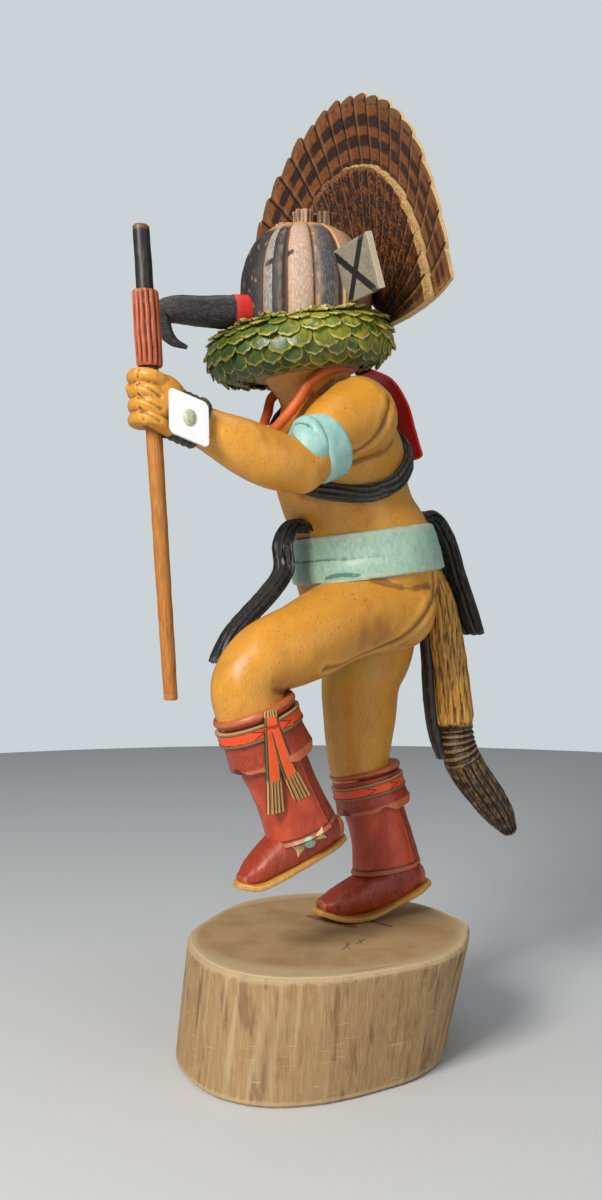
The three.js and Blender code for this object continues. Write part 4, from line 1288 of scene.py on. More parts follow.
def oval(long, wide, count=40, square=2.0):
    angles = 2 * np.pi * np.arange(count) / count
    c, s = np.cos(angles), np.sin(angles)
    reach = (np.abs(c) ** square + np.abs(s) ** square) ** (-1 / square)
    return np.stack([c * reach * long, s * reach * wide], -1)


# The belt follows the hips and the raised thigh; its edges are rounded over.
def beltShape():
    sides, rows = 220, 30
    rings, alongs = [], []
    for i in range(rows + 1):
        along = i / rows
        edge = min(along, 1 - along) * (dress["beltTop"] - dress["beltFoot"])
        proud = dress["beltProud"] * (0.25 + 0.75 * math.sqrt(max(0, 1 - (1 - min(edge / 1.0, 1)) ** 2)))
        centre = np.interp(along, (0, 0.5, 1), (18, 16.6, 13.6))
        wide = np.interp(along, (0, 0.5, 1), (29.8, 29.2, 27.2))
        deep = np.interp(along, (0, 0.5, 1), (27, 26.1, 24.8))
        level = np.interp(along, (0, 0.5, 1), [dress["beltFoot"], 143, dress["beltTop"]])
        ring = []
        for k in range(sides):
            angle = 2 * math.pi * k / sides
            x, y = wide * math.cos(angle), -deep * math.sin(angle)
            h = level + y * 0.14
            outward = unit(np.array([math.cos(angle) / wide, -math.sin(angle) / deep, 0]))
            point = np.array([x, centre + y, h])
            hit = trunkTree.ray_cast(Vector(point + outward * 9), Vector(-outward), 16)[0]
            if hit:
                over = (np.array(hit) - point) @ outward
                point = point + outward * max(0, over)
            ring.append(point + outward * proud)
        rings.append(ring)
        alongs.append(along)
    return ringsToShape(rings, alongs)


def strapShape():
    middle, swing, lowBearing, steps = 183.5, 20, math.radians(-22), 18
    points = []
    for i in range(steps):
        bearing = 2 * math.pi * i / steps
        point = torsoSkin(middle - swing * math.cos(bearing - lowBearing), bearing)
        outward = unit((point - torsoAxis(point[2])) * (1, 1, 0))
        points.append(point + outward * dress["strapThickness"] * 0.3)
    wave = lambda angles, along: 0.3 * np.cos(9 * angles + 2 * math.sin(40 * along))
    ridges = lambda angles, along: wave(angles, along) * (np.cos(angles) > -0.2)
    axis = lambda point: torsoAxis(point[2])
    return band(
        points,
        axis,
        dress["strapWidth"],
        dress["strapThickness"],
        sides=54,
        turns=260,
        square=2.4,
        carve=ridges,
    )


cord = {
    "half": [
        [9.5, -22.4, 191.5],
        [14.2, -18.6, 198],
        [16.8, -15.8, 204],
        [17, -9.5, 208.5],
        [13.8, -1, 211.5],
        [7, 6.5, 213],
    ],
    "tip": [0, -24.8, 187.3],
    "radius": 1.9,
}


def cordShape():
    mirrored = [[-x, y, h] for x, y, h in cord["half"]][::-1]
    loop = [cord["tip"], *cord["half"], *mirrored]
    return band(loop, lambda p: np.array([0, -8, p[2]]), 2 * cord["radius"], 2 * cord["radius"], turns=220)


armband = {
    "wrap": [[31, -15, 180.4, 12.2, 12.8], [33, -23.4, 176, 11, 11.8]],
    "cap": (308, 431),
    "capWay": (110, 190),
    "capSize": (9.6, 4.9),
    "capHeight": 1.5,
}


# The armband, and the flat oval cap that lies over its upper half.
def armbandShapes():
    roundEdges = lambda angles, along: -0.8 * (abs(2 * along - 1) ** 7)
    wrap = limb(armband["wrap"], sides=90, rows=20, carve=roundEdges)
    tree = treeOf([wrap, *armShapes()])
    middle, out = seenAt(tree, *armband["cap"])
    right, down = armband["capWay"]
    way = np.array(Vector(photo["heading"]).cross(Vector((0, 0, 1)))) * right - np.array([0, 0, down])
    cap = laidOn(tree, middle, out, way, oval(*armband["capSize"], square=2.3), armband["capHeight"])
    return [wrap, cap]


wrist = {"stations": [[31.6, -62.4, 183.2, 7.9, 8.7], [30.4, -74.6, 188, 7.7, 8.9]]}


# The wrist band is cut with grooves along it, and a small flap stands at its upper edge.
def wristShapes():
    grooves = lambda angles, along: -0.5 * (abs(2 * along - 1) ** 8) - 0.3 * math.cos(18 * along) ** 2
    wrap = limb(wrist["stations"], sides=60, rows=40, carve=grooves)
    flap = lump([34.6, -62.6, 190.2], [1.4, 2.6, 1.8], [0.5, 0.6, 0.6], sides=20, rows=10)
    return [wrap, flap]


plainPiece("turquoiseBelt", [beltShape()], beltPaint, "painted_wood", marks=0.14)
plainPiece("shoulderStrap", [strapShape()], blackPaint, "painted_wood", marks=0.2)
plainPiece("neckCord", [cordShape()], cordPaint, "painted_wood", marks=0.16)
plainPiece("cordShell", [lump([2, -25.8, 188.4], [1.9, 1.7, 1.5], [0.5, -1, 0])], creamPaint, "painted_wood")
plainPiece("armband", armbandShapes(), bandPaint, "painted_wood", marks=0.08)
plainPiece("wristBand", wristShapes(), blackPaint, "painted_wood", marks=0.12)

print("stage: boots")

leftBoot = {
    "shaft": [
        [25, -36.4, 75.6, 12.6, 13],
        [25.3, -33.5, 69, 12.2, 12.5],
        [25.6, -29.8, 61, 11.6, 12],
        [26, -26.2, 52.6, 11.9, 12.4],
        [26, -22.8, 44.6, 12.8, 13.5],
    ],
    "cuff": [[25, -41.2, 88.4, 14, 14.3], [25.1, -37.4, 78.6, 14, 14.4], [25.2, -34.2, 71, 14, 14.6]],
    "tie": [[25, -39.8, 84.4, 14.9, 15.3], [25.1, -38, 79.6, 14.9, 15.3]],
    "upper": [
        [26, -11.4, 44.4, 6.6, 4.8],
        [26, -17, 43.6, 8, 7.8],
        [26, -25, 41, 8.4, 8.4],
        [26, -34, 35.6, 8.6, 6.4],
        [26, -41, 31.2, 7.2, 4.4],
        [26, -45, 28.8, 4.6, 2.6],
    ],
    "sole": [
        [26, -8.4, 40.4, 5.2],
        [26, -13, 38.4, 7.9],
        [26, -22, 34.5, 8.4],
        [26, -34, 29.8, 9.5],
        [26, -42, 26.8, 7.8],
        [26, -47, 27.2, 3.8],
    ],
    "knot": [39.6, -41.4, 84.6],
    "tassels": [
        [[39.8, -41.4, 82], [38.2, -39.4, 68], [36.2, -37.6, 53]],
        [[39.8, -39.6, 82], [38.6, -34.4, 69], [36.4, -27.6, 57]],
    ],
    "stone": [33, -23.6, 41],
    "bows": [[33, -27.4, 39], [33, -19.6, 43.2]],
}

rightBoot = {
    "shaft": [
        [-12.1, 25.4, 47, 12.3, 12.7],
        [-11.5, 27, 41, 11.8, 12.3],
        [-10.3, 29.8, 30, 12.2, 12.8],
        [-9.4, 31.5, 18.6, 13.2, 14.4],
    ],
    "cuff": [[-13, 22.9, 58.2, 13.5, 13.7], [-12.5, 24.4, 51, 13.5, 14], [-11.7, 26.4, 43.4, 13.6, 14.2]],
    "tie": [[-12.7, 23.9, 53.6, 14.4, 14.6], [-12.3, 25, 48.8, 14.4, 14.6]],
    "upper": [
        [-7.8, 42.6, 15.4, 6.6, 5],
        [-8.2, 36, 14.4, 8, 8],
        [-8.8, 27, 11.4, 8.4, 8.6],
        [-9.4, 17, 8.4, 8.6, 6.8],
        [-10, 8, 6, 7.6, 4.8],
        [-10.3, 3, 5.6, 4.8, 2.8],
    ],
    "sole": [
        [-7.5, 47.4, 11.2, 5],
        [-7.9, 42, 9, 7.8],
        [-8.6, 32, 5.4, 8.4],
        [-9.2, 20, 1.5, 9.5],
        [-9.8, 9, 1.3, 8.8],
        [-10.2, 1, 3.6, 4.6],
    ],
    "knot": [-26.8, 25.6, 52],
    "tassels": [
        [[-27, 26.4, 49], [-26.2, 28, 38], [-24.6, 30, 26]],
        [[-26.8, 27.4, 49], [-25.4, 32, 40], [-23.4, 37, 31]],
    ],
    "stone": [-15.8, 31, 13],
    "bows": [[-15.8, 27, 12], [-15.8, 35.2, 14.4]],
}


def ragged(angles):
    scallops = 2.2 * (1 - np.abs(np.sin(2.5 * angles + 0.4))) ** 0.8
    return 1.1 * np.sin(2 * angles + 1) - scallops + 1.2 + 0.35 * np.sin(11 * angles)


# The cuff: a rolled top edge over a groove, and a flap that flares a little to its scalloped hem.
def cuffRelief(angles, along):
    roll = 0.8 * math.exp(-(((along - 0.06) / 0.06) ** 2)) - 0.9 * math.exp(-(((along - 0.17) / 0.025) ** 2))
    return roll + 0.9 * along ** 3 + 0.25 * along * np.sin(9 * angles)


# The shaft: the wrap's edge stands a little proud of the front panel.
def wrapRelief(angles, along):
    degrees = np.degrees(angles) % 360
    panel = (degrees > 26) & (degrees < 151)
    return np.where(panel, -0.7, 0.0) + 0.8 * max(0, along - 0.96) / 0.04 * ~panel


def tasselRelief(angles, along):
    threads = np.sin(17 * np.cos(angles)) * (along > 0.62)
    edges = 0.18 * (np.abs(np.cos(angles)) > 0.7) * (along <= 0.62)
    return 0.16 * threads + edges - 0.1


def bootPieces(side, boot):
    outside = math.copysign(1, boot["knot"][0])
    treads = [[*station, 1.3] for station in boot["sole"]]
    shaft = limb(boot["shaft"], sides=140, rows=70, carve=wrapRelief, finish=0)
    leather = [
        shaft,
        limb(boot["cuff"], sides=150, rows=50, hem=ragged, carve=cuffRelief, finish=1),
        limb(boot["upper"], sides=70, rows=60, domes=(4, 2), square=2.4, finish=1),
    ]
    plainPiece(side + "Boot", leather, [bootShaft, bootLeather], "painted_wood", marks=0.14, depth=0.3)
    sole = limb(treads, sides=64, rows=60, domes=(2, 1.6), square=4)
    plainPiece(side + "Sole", [sole], soleStain, "painted_wood", marks=0.08)
    tieEdges = lambda angles, along: 0.22 * (abs(2 * along - 1) > 0.66) + 0.1 * np.sin(5 * angles)
    tie = limb(boot["tie"], sides=150, rows=24, carve=tieEdges, finish=0)
    strips = [tie]
    for points in boot["tassels"]:
        stations = [[*point, 1.9 + 0.7 * i, 1.1] for i, point in enumerate(points)]
        strips.append(limb(
            stations, sides=64, rows=60, side=(0, 1, 0.2), square=4, carve=tasselRelief, finish=1
        ))
    x, y, h = boot["knot"]
    knot = [[x - outside * 0.4, y + 0.8, h - 1.4, 2.6, 1.4], [x - outside * 0.2, y + 0.2, h + 3.2, 2.3, 1.2]]
    strips.append(limb(knot, sides=40, rows=10, side=(0, 1, 0.15), square=5, domes=(0.4, 0.6), finish=1))
    plainPiece(side + "Tie", strips, [edgedTiePaint, tasselFinish], "painted_wood", marks=0.05)
    skin = treeOf(leather)
    out = np.array([outside, -0.35, 0.25])
    way = np.array(boot["bows"][1]) - np.array(boot["bows"][0])
    stone = laidOn(skin, np.array(boot["stone"]), out, (0, 0, 1), oval(1.9, 2.3), 1.2, crown=2)
    plainPiece(side + "Stone", [stone], turquoisePaint, "painted_wood")
    bows = []
    for k, middle in enumerate(boot["bows"]):
        flip = -1 if k == 0 else 1
        outline = [(flip * a, b) for a, b in ((-1.9, -0.8), (2.0, -2.2), (1.2, 0), (2.0, 2.2), (-1.9, 0.8))]
        fine = []
        for (a, b), (c, d) in zip(outline, outline[1:] + outline[:1]):
            fine += [(a + (c - a) * t / 6, b + (d - b) * t / 6) for t in range(6)]
        bows.append(laidOn(skin, np.array(middle), out, way, fine if flip > 0 else fine[::-1], 0.7))
    plainPiece(side + "Bow", bows, creamPaint, "painted_wood", sharpAngle=60)


bootPieces("left", leftBoot)
bootPieces("right", rightBoot)

print("stage: mask and ruff")

mask = {
    "stations": [
        [0, -8.2, 210, 19.5, 19.5],
        [0, -9.3, 218, 23, 23.4],
        [0, -9.3, 228, 24.2, 24.8],
        [0, -9.3, 238, 24.6, 25.2],
        [0, -9.7, 247, 24, 24.4],
        [0, -10.2, 254, 22.2, 22.2],
        [0, -10.6, 260, 18.4, 18.4],
        [0, -10.8, 264.2, 12.6, 12.6],
        [0, -10.8, 265.8, 6, 6],
    ],
    "lobe": 24.5,
    "groove": 1.3,
    "pegs": [(8.2, -14), (9, -5.8), (-8.2, -14), (-9, -5.8)],
    "pegRadius": 3.7,
    "top": 269.4,
}


# The mask's front is cut into upright lobes, and small tool marks run down each.
def lobeCut(angles, along):
    fromFront = np.abs((np.degrees(angles) + 450) % 360 - 180)
    lobe = mask["lobe"]
    within = np.where(fromFront < lobe, fromFront / 2 + lobe / 2, fromFront % lobe)
    bulge = np.sin(np.pi * within / lobe)
    cut = -mask["groove"] * (1 - bulge) ** 2
    slope = math.sin(min(1, (1 - along) * 4) * math.pi / 2)
    return np.where(fromFront > 4.1 * lobe, 0, cut * (0.6 + 0.4 * slope))


maskPaint = maskFinish()
maskShape = limb(mask["stations"], sides=240, rows=90, carve=lobeCut)
plainPiece("mask", [maskShape], maskPaint, "painted_wood", marks=0.1)


# Rough ended pegs stand on the mask.
def pegShapes():
    shapes = []
    for number, (x, y) in enumerate(mask["pegs"]):
        radius = mask["pegRadius"]
        foot = [x, y, mask["top"] - 9, radius * 1.1, radius * 1.1]
        waist = [x, y, mask["top"] - 4, radius * 0.94, radius * 0.94]
        top = [x, y, mask["top"] - 0.7, radius, radius]
        splits = lambda angles, along, k=number: 0.35 * along * np.sin(7 * angles + k)
        rough = lambda angles, along, k=number: splits(angles, along, k) + 0.2 * np.sin(13 * angles + 3 * k)
        shapes.append(limb(
            [foot, waist, top], sides=60, rows=30, domes=(0, 0.7), carve=rough, finish=number % 2
        ))
    return shapes


pegGrain = {"grainSize": (0.5, 0.5, 1.2), "streak": 0.9, "depth": 0.2}
pegPale = plainFinish(
    "pegPale", (0.34, 0.17, 0.10), (0.10, 0.04, 0.03), (0.50, 0.30, 0.19), **pegGrain
)
pegDark = plainFinish(
    "pegDark", (0.17, 0.09, 0.045), (0.03, 0.02, 0.014), (0.36, 0.20, 0.09), **pegGrain
)
plainPiece("maskPegs", pegShapes(), [pegPale, pegDark], "painted_wood", marks=0.3)

ruff = {
    "centre": np.array([0, -11.6, 219.8]),
    "radius": 26.3,
    "depth": 11.2,
    "tilt": 9,
    "columns": 30,
    "rows": 10,
    "pitch": 27,
    "leafLength": 8.6,
    "leafRelief": 1.6,
}


# A place on the ruff: turn runs round the neck, roll from the outer rim (0) over the top (90).
def onRuff(turn, roll, lift=0.0):
    c, s = math.cos(turn), math.sin(turn)
    reach = ruff["radius"] + (ruff["depth"] - ruff["leafRelief"] + lift) * math.cos(roll)
    rise = (ruff["depth"] - ruff["leafRelief"] + lift) * math.sin(roll)
    tilt = math.radians(ruff["tilt"])
    y, z = reach * s, rise
    spun = (reach * c, y * math.cos(tilt) - z * math.sin(tilt), y * math.sin(tilt) + z * math.cos(tilt))
    return ruff["centre"] + spun


def ruffCore():
    sides, turns = 40, 160
    sunk = -1.2
    turn = 2 * math.pi
    rings = [[onRuff(turn * i / turns, -turn * j / sides, sunk) for j in range(sides)] for i in range(turns)]
    verts = np.array(rings)
    i, j = np.meshgrid(np.arange(turns), np.arange(sides), indexing="ij")
    i2, j2 = (i + 1) % turns, (j + 1) % sides
    quads = np.stack([i * sides + j, i2 * sides + j, i2 * sides + j2, i * sides + j2], -1).reshape(-1, 4)
    return {
        "verts": verts.reshape(-1, 3),
        "quads": quads,
        "uvQuads": np.zeros((len(quads), 4, 2)),
        "tris": np.zeros((0, 3), int),
        "uvTris": np.zeros((0, 3, 2)),
        "finish": 0,
    }


# One leaf: a cupped scale, set into the ruff at its root, its round tip lifted off with a thick rim.
def leafShape(turn, roll, size):
    columns, rows = 8, 9
    reach = ruff["radius"] + ruff["depth"] * math.cos(roll)
    wide = size * math.pi * max(reach, 20) / ruff["columns"] * 1.12
    lean = rng.uniform(-0.3, 0.3)
    proud = rng.uniform(0.6, 1.25)
    curl = rng.uniform(0.0, 0.5)
    front, back = [], []
    for i in range(columns + 1):
        across = 2 * i / columns - 1
        frontRow, backRow = [], []
        for j in range(rows + 1):
            down = j / rows
            tip = max(0, (down - 0.5) / 0.5)
            rounded = math.sqrt(max(0.0, 1 - tip ** 2.4) * 0.985 + 0.015)
            halfWidth = wide * rounded * (0.7 + 0.3 * min(1, down * 2.2))
            u = across * halfWidth + lean * (down - 0.3) * wide
            v = (down - 0.38) * ruff["leafLength"] * size
            cup = 1 - 0.35 * across * across
            rim = 0.35 * math.exp(-(((down - 0.95 + 0.12 * across * across) / 0.09) ** 2))
            lift = -1.1 + 2.5 * proud * down ** 1.2 * cup + rim
            lift += curl * tip ** 2 - 0.35 * (1 - abs(across)) * down
            frontRow.append(onRuff(turn + u / reach, roll - v / ruff["depth"], min(lift, 1.7)))
            under = min(lift, 1.7) - 0.55 - 0.75 * (1 - down)
            backRow.append(onRuff(
                turn + u * 0.94 / reach, roll - (v - 0.35 * down) / ruff["depth"], max(under, -2.4)
            ))
        front.append(frontRow)
        back.append(backRow)
    return slab(front, back)


def leafShapes():
    shapes, tones = [], []
    for row in range(ruff["rows"]):
        roll = math.radians(112 - row * ruff["pitch"])
        for column in range(ruff["columns"]):
            shift = 0.5 * (row % 2) + rng.uniform(-0.16, 0.16)
            turn = 2 * math.pi * (column + shift) / ruff["columns"]
            shapes.append(leafShape(turn, roll + rng.uniform(-0.1, 0.1), rng.uniform(0.86, 1.16)))
            tones.append(rng.random())
    return shapes, tones


leafPaint = leafFinish()
leaves, leafTones = leafShapes()
core = ruffCore()
ruffPiece = meshOf("leafRuff", [core, *leaves], [leafPaint.material])
toneOf = [np.full(len(shape["verts"]), tone) for shape, tone in zip([core, *leaves], [0.5, *leafTones])]
keepValue(ruffPiece, "tone", np.concatenate(toneOf))
withNormalsOut(ruffPiece, 60)
carveMarks(ruffPiece, lambda p: 0.22 * grain(p, 2.2, 2.2))
feelHollows(ruffPiece, 3, 0.25)
place(ruffPiece, "painted_wood", "carved_figure")

print("stage: beak, ears and fan")

beak = {
    "root": 27.5,
    "length": 33,
    "radius": 6.1,
    "height": 230.6,
    "front": -33.5,
    "ring": -39.2,
}


def beakShape():
    h, wide = beak["height"], beak["radius"]
    share = lambda part: beak["front"] - beak["length"] * part
    bill = [
        [0, -beak["root"], h + 1.6, wide * 0.92, wide * 0.95],
        [0, share(0.2), h + 0.2, wide * 0.96, wide],
        [0, share(0.55), h - 0.6, wide * 0.9, wide * 0.9],
        [0, share(0.85), h - 1, wide * 0.8, wide * 0.8],
        [0, share(1), h - 2.6, wide * 0.55, wide * 0.6],
        [0, share(0.97), h - 8, wide * 0.38, wide * 0.5],
        [0, share(0.86), h - 12.4, wide * 0.26, wide * 0.3],
        [0, share(0.7), h - 14.2, wide * 0.12, wide * 0.12],
    ]
    path = np.array([station[:3] for station in bill], float)
    ringAlong = min(range(200), key=lambda k: abs(curveAt(path, k / 600)[1] - beak["ring"])) / 600
    step = lambda angles, along: 0.3 if along < ringAlong else 0.0
    return limb(bill, sides=72, rows=150, square=2.3, carve=step)


plainPiece("blackBeak", [beakShape()], beakFinish(), "beak_paint", nodes=("beak",), marks=0.14)

ear = {"width": 22.8, "height": 19.5, "thickness": 2.4, "tilt": 16, "sink": 4, "behind": 4.3, "above": 4}


# A flat plate that stands out sideways from the mask.
def earShape(outside):
    columns, rows = 54, 40
    _, y, h, width, _ = mask["stations"][3]
    inner = width - ear["sink"]
    tilt = math.radians(ear["tilt"])
    grids = []
    for face in (-1, 1):
        grid = []
        for i in range(columns + 1):
            row = []
            for j in range(rows + 1):
                out = inner + (ear["width"] + ear["sink"]) * i / columns
                up = ear["height"] * (j / rows - 0.5)
                edge = min(i, columns - i, j, rows - j)
                off = face * ear["thickness"] / 2 * (0.9 if edge == 0 else 1)
                back = off * math.cos(tilt) - up * math.sin(tilt)
                rise = off * math.sin(tilt) + up * math.cos(tilt)
                row.append((outside * out, y + ear["behind"] + back, h + ear["above"] + rise))
            grid.append(row)
        grids.append(grid)
    return slab(*grids)


earPaint = earFinish()
plainPiece("leftEar", [earShape(1)], earPaint, "ear_paint", nodes=("ear_plate_left",), marks=0.06)
plainPiece("rightEar", [earShape(-1)], earPaint, "ear_paint", nodes=("ear_plate_right",), marks=0.06)

fan = {
    "radius": 84.5,
    "inner": 60,
    "back": 1.9,
    "front": 1.9,
    "dishSide": 13.8,
    "dishTop": 5.8,
    "lean": 0.158,
    "spread": 91,
    "feathers": 24,
    "behindRuff": 32,
    "aboveRuff": 9.2,
}


def onFan(angle, radius, forward):
    x, z = radius * math.sin(angle), radius * math.cos(angle)
    dish = (fan["dishSide"] * x * x + fan["dishTop"] * z * z) / 73 ** 2 + fan["lean"] * z
    return ruff["centre"] + (-x, fan["behindRuff"] - dish - forward, fan["aboveRuff"] + z)


# One layer of feathers. Each one's edge laps the next, with a thin cut between, and its tip is cut square.
def featherLayer(outerRadius, nearer, farther, notch, perFeather=8, rows=50, finish=0, wall=1):
    columns = fan["feathers"] * perFeather
    front, back = [], []
    lengths = [rng.uniform(-1.0, 0.4) for _ in range(fan["feathers"])]
    for i in range(columns + 1):
        feather = min(i // perFeather, fan["feathers"] - 1)
        within = (i - feather * perFeather) / perFeather
        angle = math.radians(fan["spread"]) * (2 * i / columns - 1)
        lap = 0.45 * (within - 0.5)
        seam = -0.35 * math.exp(-((min(within, 1 - within) * perFeather / 0.7) ** 2))
        tip = -notch * within ** 1.5 - 0.8 * (abs(2 * within - 1) ** 8) + lengths[feather]
        frontRow, backRow = [], []
        for j in range(rows + 1):
            share = j / rows
            radius = 11 + (outerRadius - 11) * share + tip * share ** 6
            rounding = -0.35 * max(0, (share - 0.985) / 0.015)
            height = nearer + (lap + seam) * min(1, share * 3) + rounding
            frontRow.append(onFan(angle, radius, height))
            backRow.append(onFan(angle, radius, -farther))
        front.append(frontRow)
        back.append(backRow)
    return slab(front, back, finish, wall)


longFeathers = featherLayer(fan["radius"] - 0.4, fan["back"] / 2, fan["back"] / 2, 2.0, finish=0, wall=2)
shortFeathers = featherLayer(
    fan["inner"] + 0.6, fan["back"] / 2 + fan["front"], fan["back"] / 2 - 0.4, 0.6, finish=1, wall=2
)
fanFinishes = [fanFinish("fanLong", False), fanFinish("fanShort", True), rawWood]
plainPiece(
    "featherFan",
    [longFeathers, shortFeathers],
    fanFinishes,
    "fan_wood",
    sharpAngle=50,
    nodes=("feather_fan",),
    marks=0.12,
)

print("stage: staff, sashes, pelt and ribbon")

staff = {
    "radius": 2.5,
    "tip": 2.9,
    "grip": 4.5,
    "length": 157,
    "tipLength": 21.5,
    "gripLength": 25,
    "gripFoot": 10.6,
    "lean": 0.066,
    "flutes": 13,
}


def staffShape():
    gripFoot = staff["gripFoot"]
    gripTop = gripFoot + staff["gripLength"]
    top = gripTop + staff["tipLength"]
    foot = top - staff["length"]
    grip, thin, tip = staff["grip"], staff["radius"], staff["tip"]
    profile = [(foot, thin * 0.8), (foot + 0.4, thin * 0.94)]
    for i in range(1, 121):
        share = i / 120
        wide = np.interp(share, (0, 0.5, 1), (0.94, 1.04, 1.12))
        profile.append((foot + 0.5 + (gripFoot - foot - 0.5) * share, thin * wide))
    profile += [(gripFoot, grip * 0.88), (gripFoot + 0.5, grip * 0.96)]
    for i in range(1, 40):
        share = i / 40
        profile.append((
            gripFoot + 0.5 + (staff["gripLength"] - 1) * share,
            grip * (0.96 + 0.04 * math.sin(math.pi * share)),
        ))
    profile += [(gripTop - 0.5, grip * 0.96), (gripTop, grip * 0.86), (gripTop, tip)]
    for i in range(1, 24):
        profile.append((gripTop + staff["tipLength"] * i / 24, tip * (1 - 0.04 * i / 24)))
    profile += [(top - 0.5, tip * 0.95), (top, tip * 0.78)]
    sides = 72
    angles = 2 * np.pi * np.arange(sides) / sides
    rings, alongs = [], []
    for height, radius in profile:
        run = height / math.hypot(1, staff["lean"])
        centre = leftGrip + (0, -staff["lean"] * run, run)
        fluted = gripFoot < height < gripTop and radius > tip
        waver = 0.25 * math.sin(height * 0.5)
        cut = 0.6 * (0.5 + 0.5 * np.cos(staff["flutes"] * angles + waver)) ** 2 if fluted else 0
        ring = centre + np.stack(
            [(radius - cut) * np.cos(angles), -(radius - cut) * np.sin(angles), 0 * angles], -1
        )
        rings.append(ring)
        alongs.append((height - foot) / staff["length"])
    return ringsToShape(rings, alongs)


plainPiece(
    "danceStaff", [staffShape()], staffFinish(), "staff_wood", nodes=("staff",), marks=0.12, depth=0.15
)

sash = {"width": 15, "thickness": 5.2, "strands": 4}


def strandGrooves(angles, along):
    grooves = (0.5 + 0.5 * np.cos(2 * sash["strands"] * angles)) ** 3
    fine = 0.12 * np.cos(40 * angles + 5 * math.sin(9 * along))
    return -1.3 * grooves * np.abs(np.sin(angles)) ** 0.5 + fine - 0.25 * max(0, along - 0.97) / 0.03


def frontSashShape():
    width, thick = sash["width"] / 2, sash["thickness"] / 2
    stations = [
        [4, -9.6, 151.6, width * 0.8, thick * 0.8],
        [5, -17, 152.8, width * 0.8, thick * 0.9],
        [7, -21.8, 146.4, width * 0.86, thick],
        [9, -22.6, 136, width * 0.9, thick],
        [12, -30.4, 126.8, width, thick],
        [14, -38.6, 119.4, width, thick],
        [15.5, -45.6, 112.2, width, thick],
        [16.5, -50.8, 103.6, width, thick * 0.8],
    ]
    return limb(stations, sides=120, rows=110, square=3, carve=strandGrooves)


def backSashShape():
    width, thick = sash["width"] / 2, sash["thickness"] / 2
    stations = [
        [2, 36.5, 155.4, width * 0.8, thick * 0.8],
        [2, 44, 158.2, width * 0.8, thick * 0.9],
        [2, 50.6, 150, width * 0.86, thick],
        [2, 55.4, 136, width * 0.9, thick],
        [2, 60, 123, width, thick],
        [2, 64.4, 111.6, width, thick * 0.8],
    ]
    return limb(stations, sides=120, rows=100, square=3, carve=strandGrooves)


plainPiece(
    "frontSash", [frontSashShape()], blackPaint, "sash_paint", nodes=("front_sash",), marks=0.15, depth=0.3
)
plainPiece(
    "backSash", [backSashShape()], blackPaint, "sash_paint", nodes=("back_sash",), marks=0.15, depth=0.3
)

pelt = {
    "body": [
        [0, 45, 136, 6.5, 4.5],
        [0, 49, 126, 7.4, 6],
        [0, 51.8, 110, 8.6, 7.6],
        [0, 54.4, 93, 8.8, 7.8],
        [0, 56.4, 77.6, 9, 8.2],
        [0, 57.2, 74.4, 7.6, 7],
        [0, 58.6, 66, 8.2, 7.4],
        [0, 63.4, 56.4, 8.4, 7.4],
        [0, 70.4, 47.6, 8, 7.2],
        [0, 78.6, 37.6, 6.6, 6],
        [0, 83.6, 30.8, 3.6, 3.4],
    ],
    "lining": [
        [-1.5, 43.6, 114, 2.6, 1.5],
        [-1.5, 45, 101, 3, 1.7],
        [-1.5, 46, 86, 3, 1.7],
        [-1.5, 48.6, 71, 3, 1.8],
        [-1.5, 52, 62, 2.6, 1.8],
    ],
    "ribs": (0.5, 0.66),
}


# Deep upright cuts in the pelt, rings round the top of the tail, long cuts down to its tip.
def peltCuts(angles, along):
    low, high = pelt["ribs"]
    cuts = -0.5 * (0.5 + 0.5 * np.cos(15 * angles + 2.2 * math.sin(7 * along))) ** 4
    if low < along < high:
        turns = (along - low) / (high - low) * 6
        return -0.75 * (0.5 + 0.5 * np.cos(2 * math.pi * turns + 0.6 * np.sin(angles))) ** 2
    return cuts * (1.5 if along > high else 0.8)


peltPaint = peltFinish()
plainPiece(
    "foxPelt",
    [limb(pelt["body"], sides=120, rows=150, domes=(0, 2.4), carve=peltCuts)],
    peltPaint,
    "pelt_wood",
    nodes=("fox_pelt",),
    marks=0.25,
    depth=0.3,
)
plainPiece(
    "peltLining",
    [limb(pelt["lining"], sides=40, rows=60, square=3)],
    blackPaint,
    "pelt_wood",
    nodes=("fox_pelt",),
    marks=0.2,
)

ribbon = {
    "stations": [
        [-2, 17, 214, 4.55, 0.9],
        [-3, 26, 211, 5.5, 0.9],
        [-4, 32.6, 202.6, 6.5, 0.9],
        [-5, 37, 192, 6.5, 0.9],
        [-5.5, 40.6, 183, 6.2, 0.9],
    ]
}
ribbonShape = limb(ribbon["stations"], sides=64, rows=80, side=(0.98, 0.17, 0), domes=(0, 2), square=4)
plainPiece("neckRibbon", [ribbonShape], ribbonPaint, "ribbon_paint", nodes=("neck_ribbon",), marks=0.12)

plate = {
    "length": 14,
    "height": 15,
    "drop": 1.9,
    "thickness": 1.3,
    "corner": 2,
    "facing": unit(np.array([0.98, -0.16, 0.08])),
    "stone": (2.2, 2.9, 1.2),
}


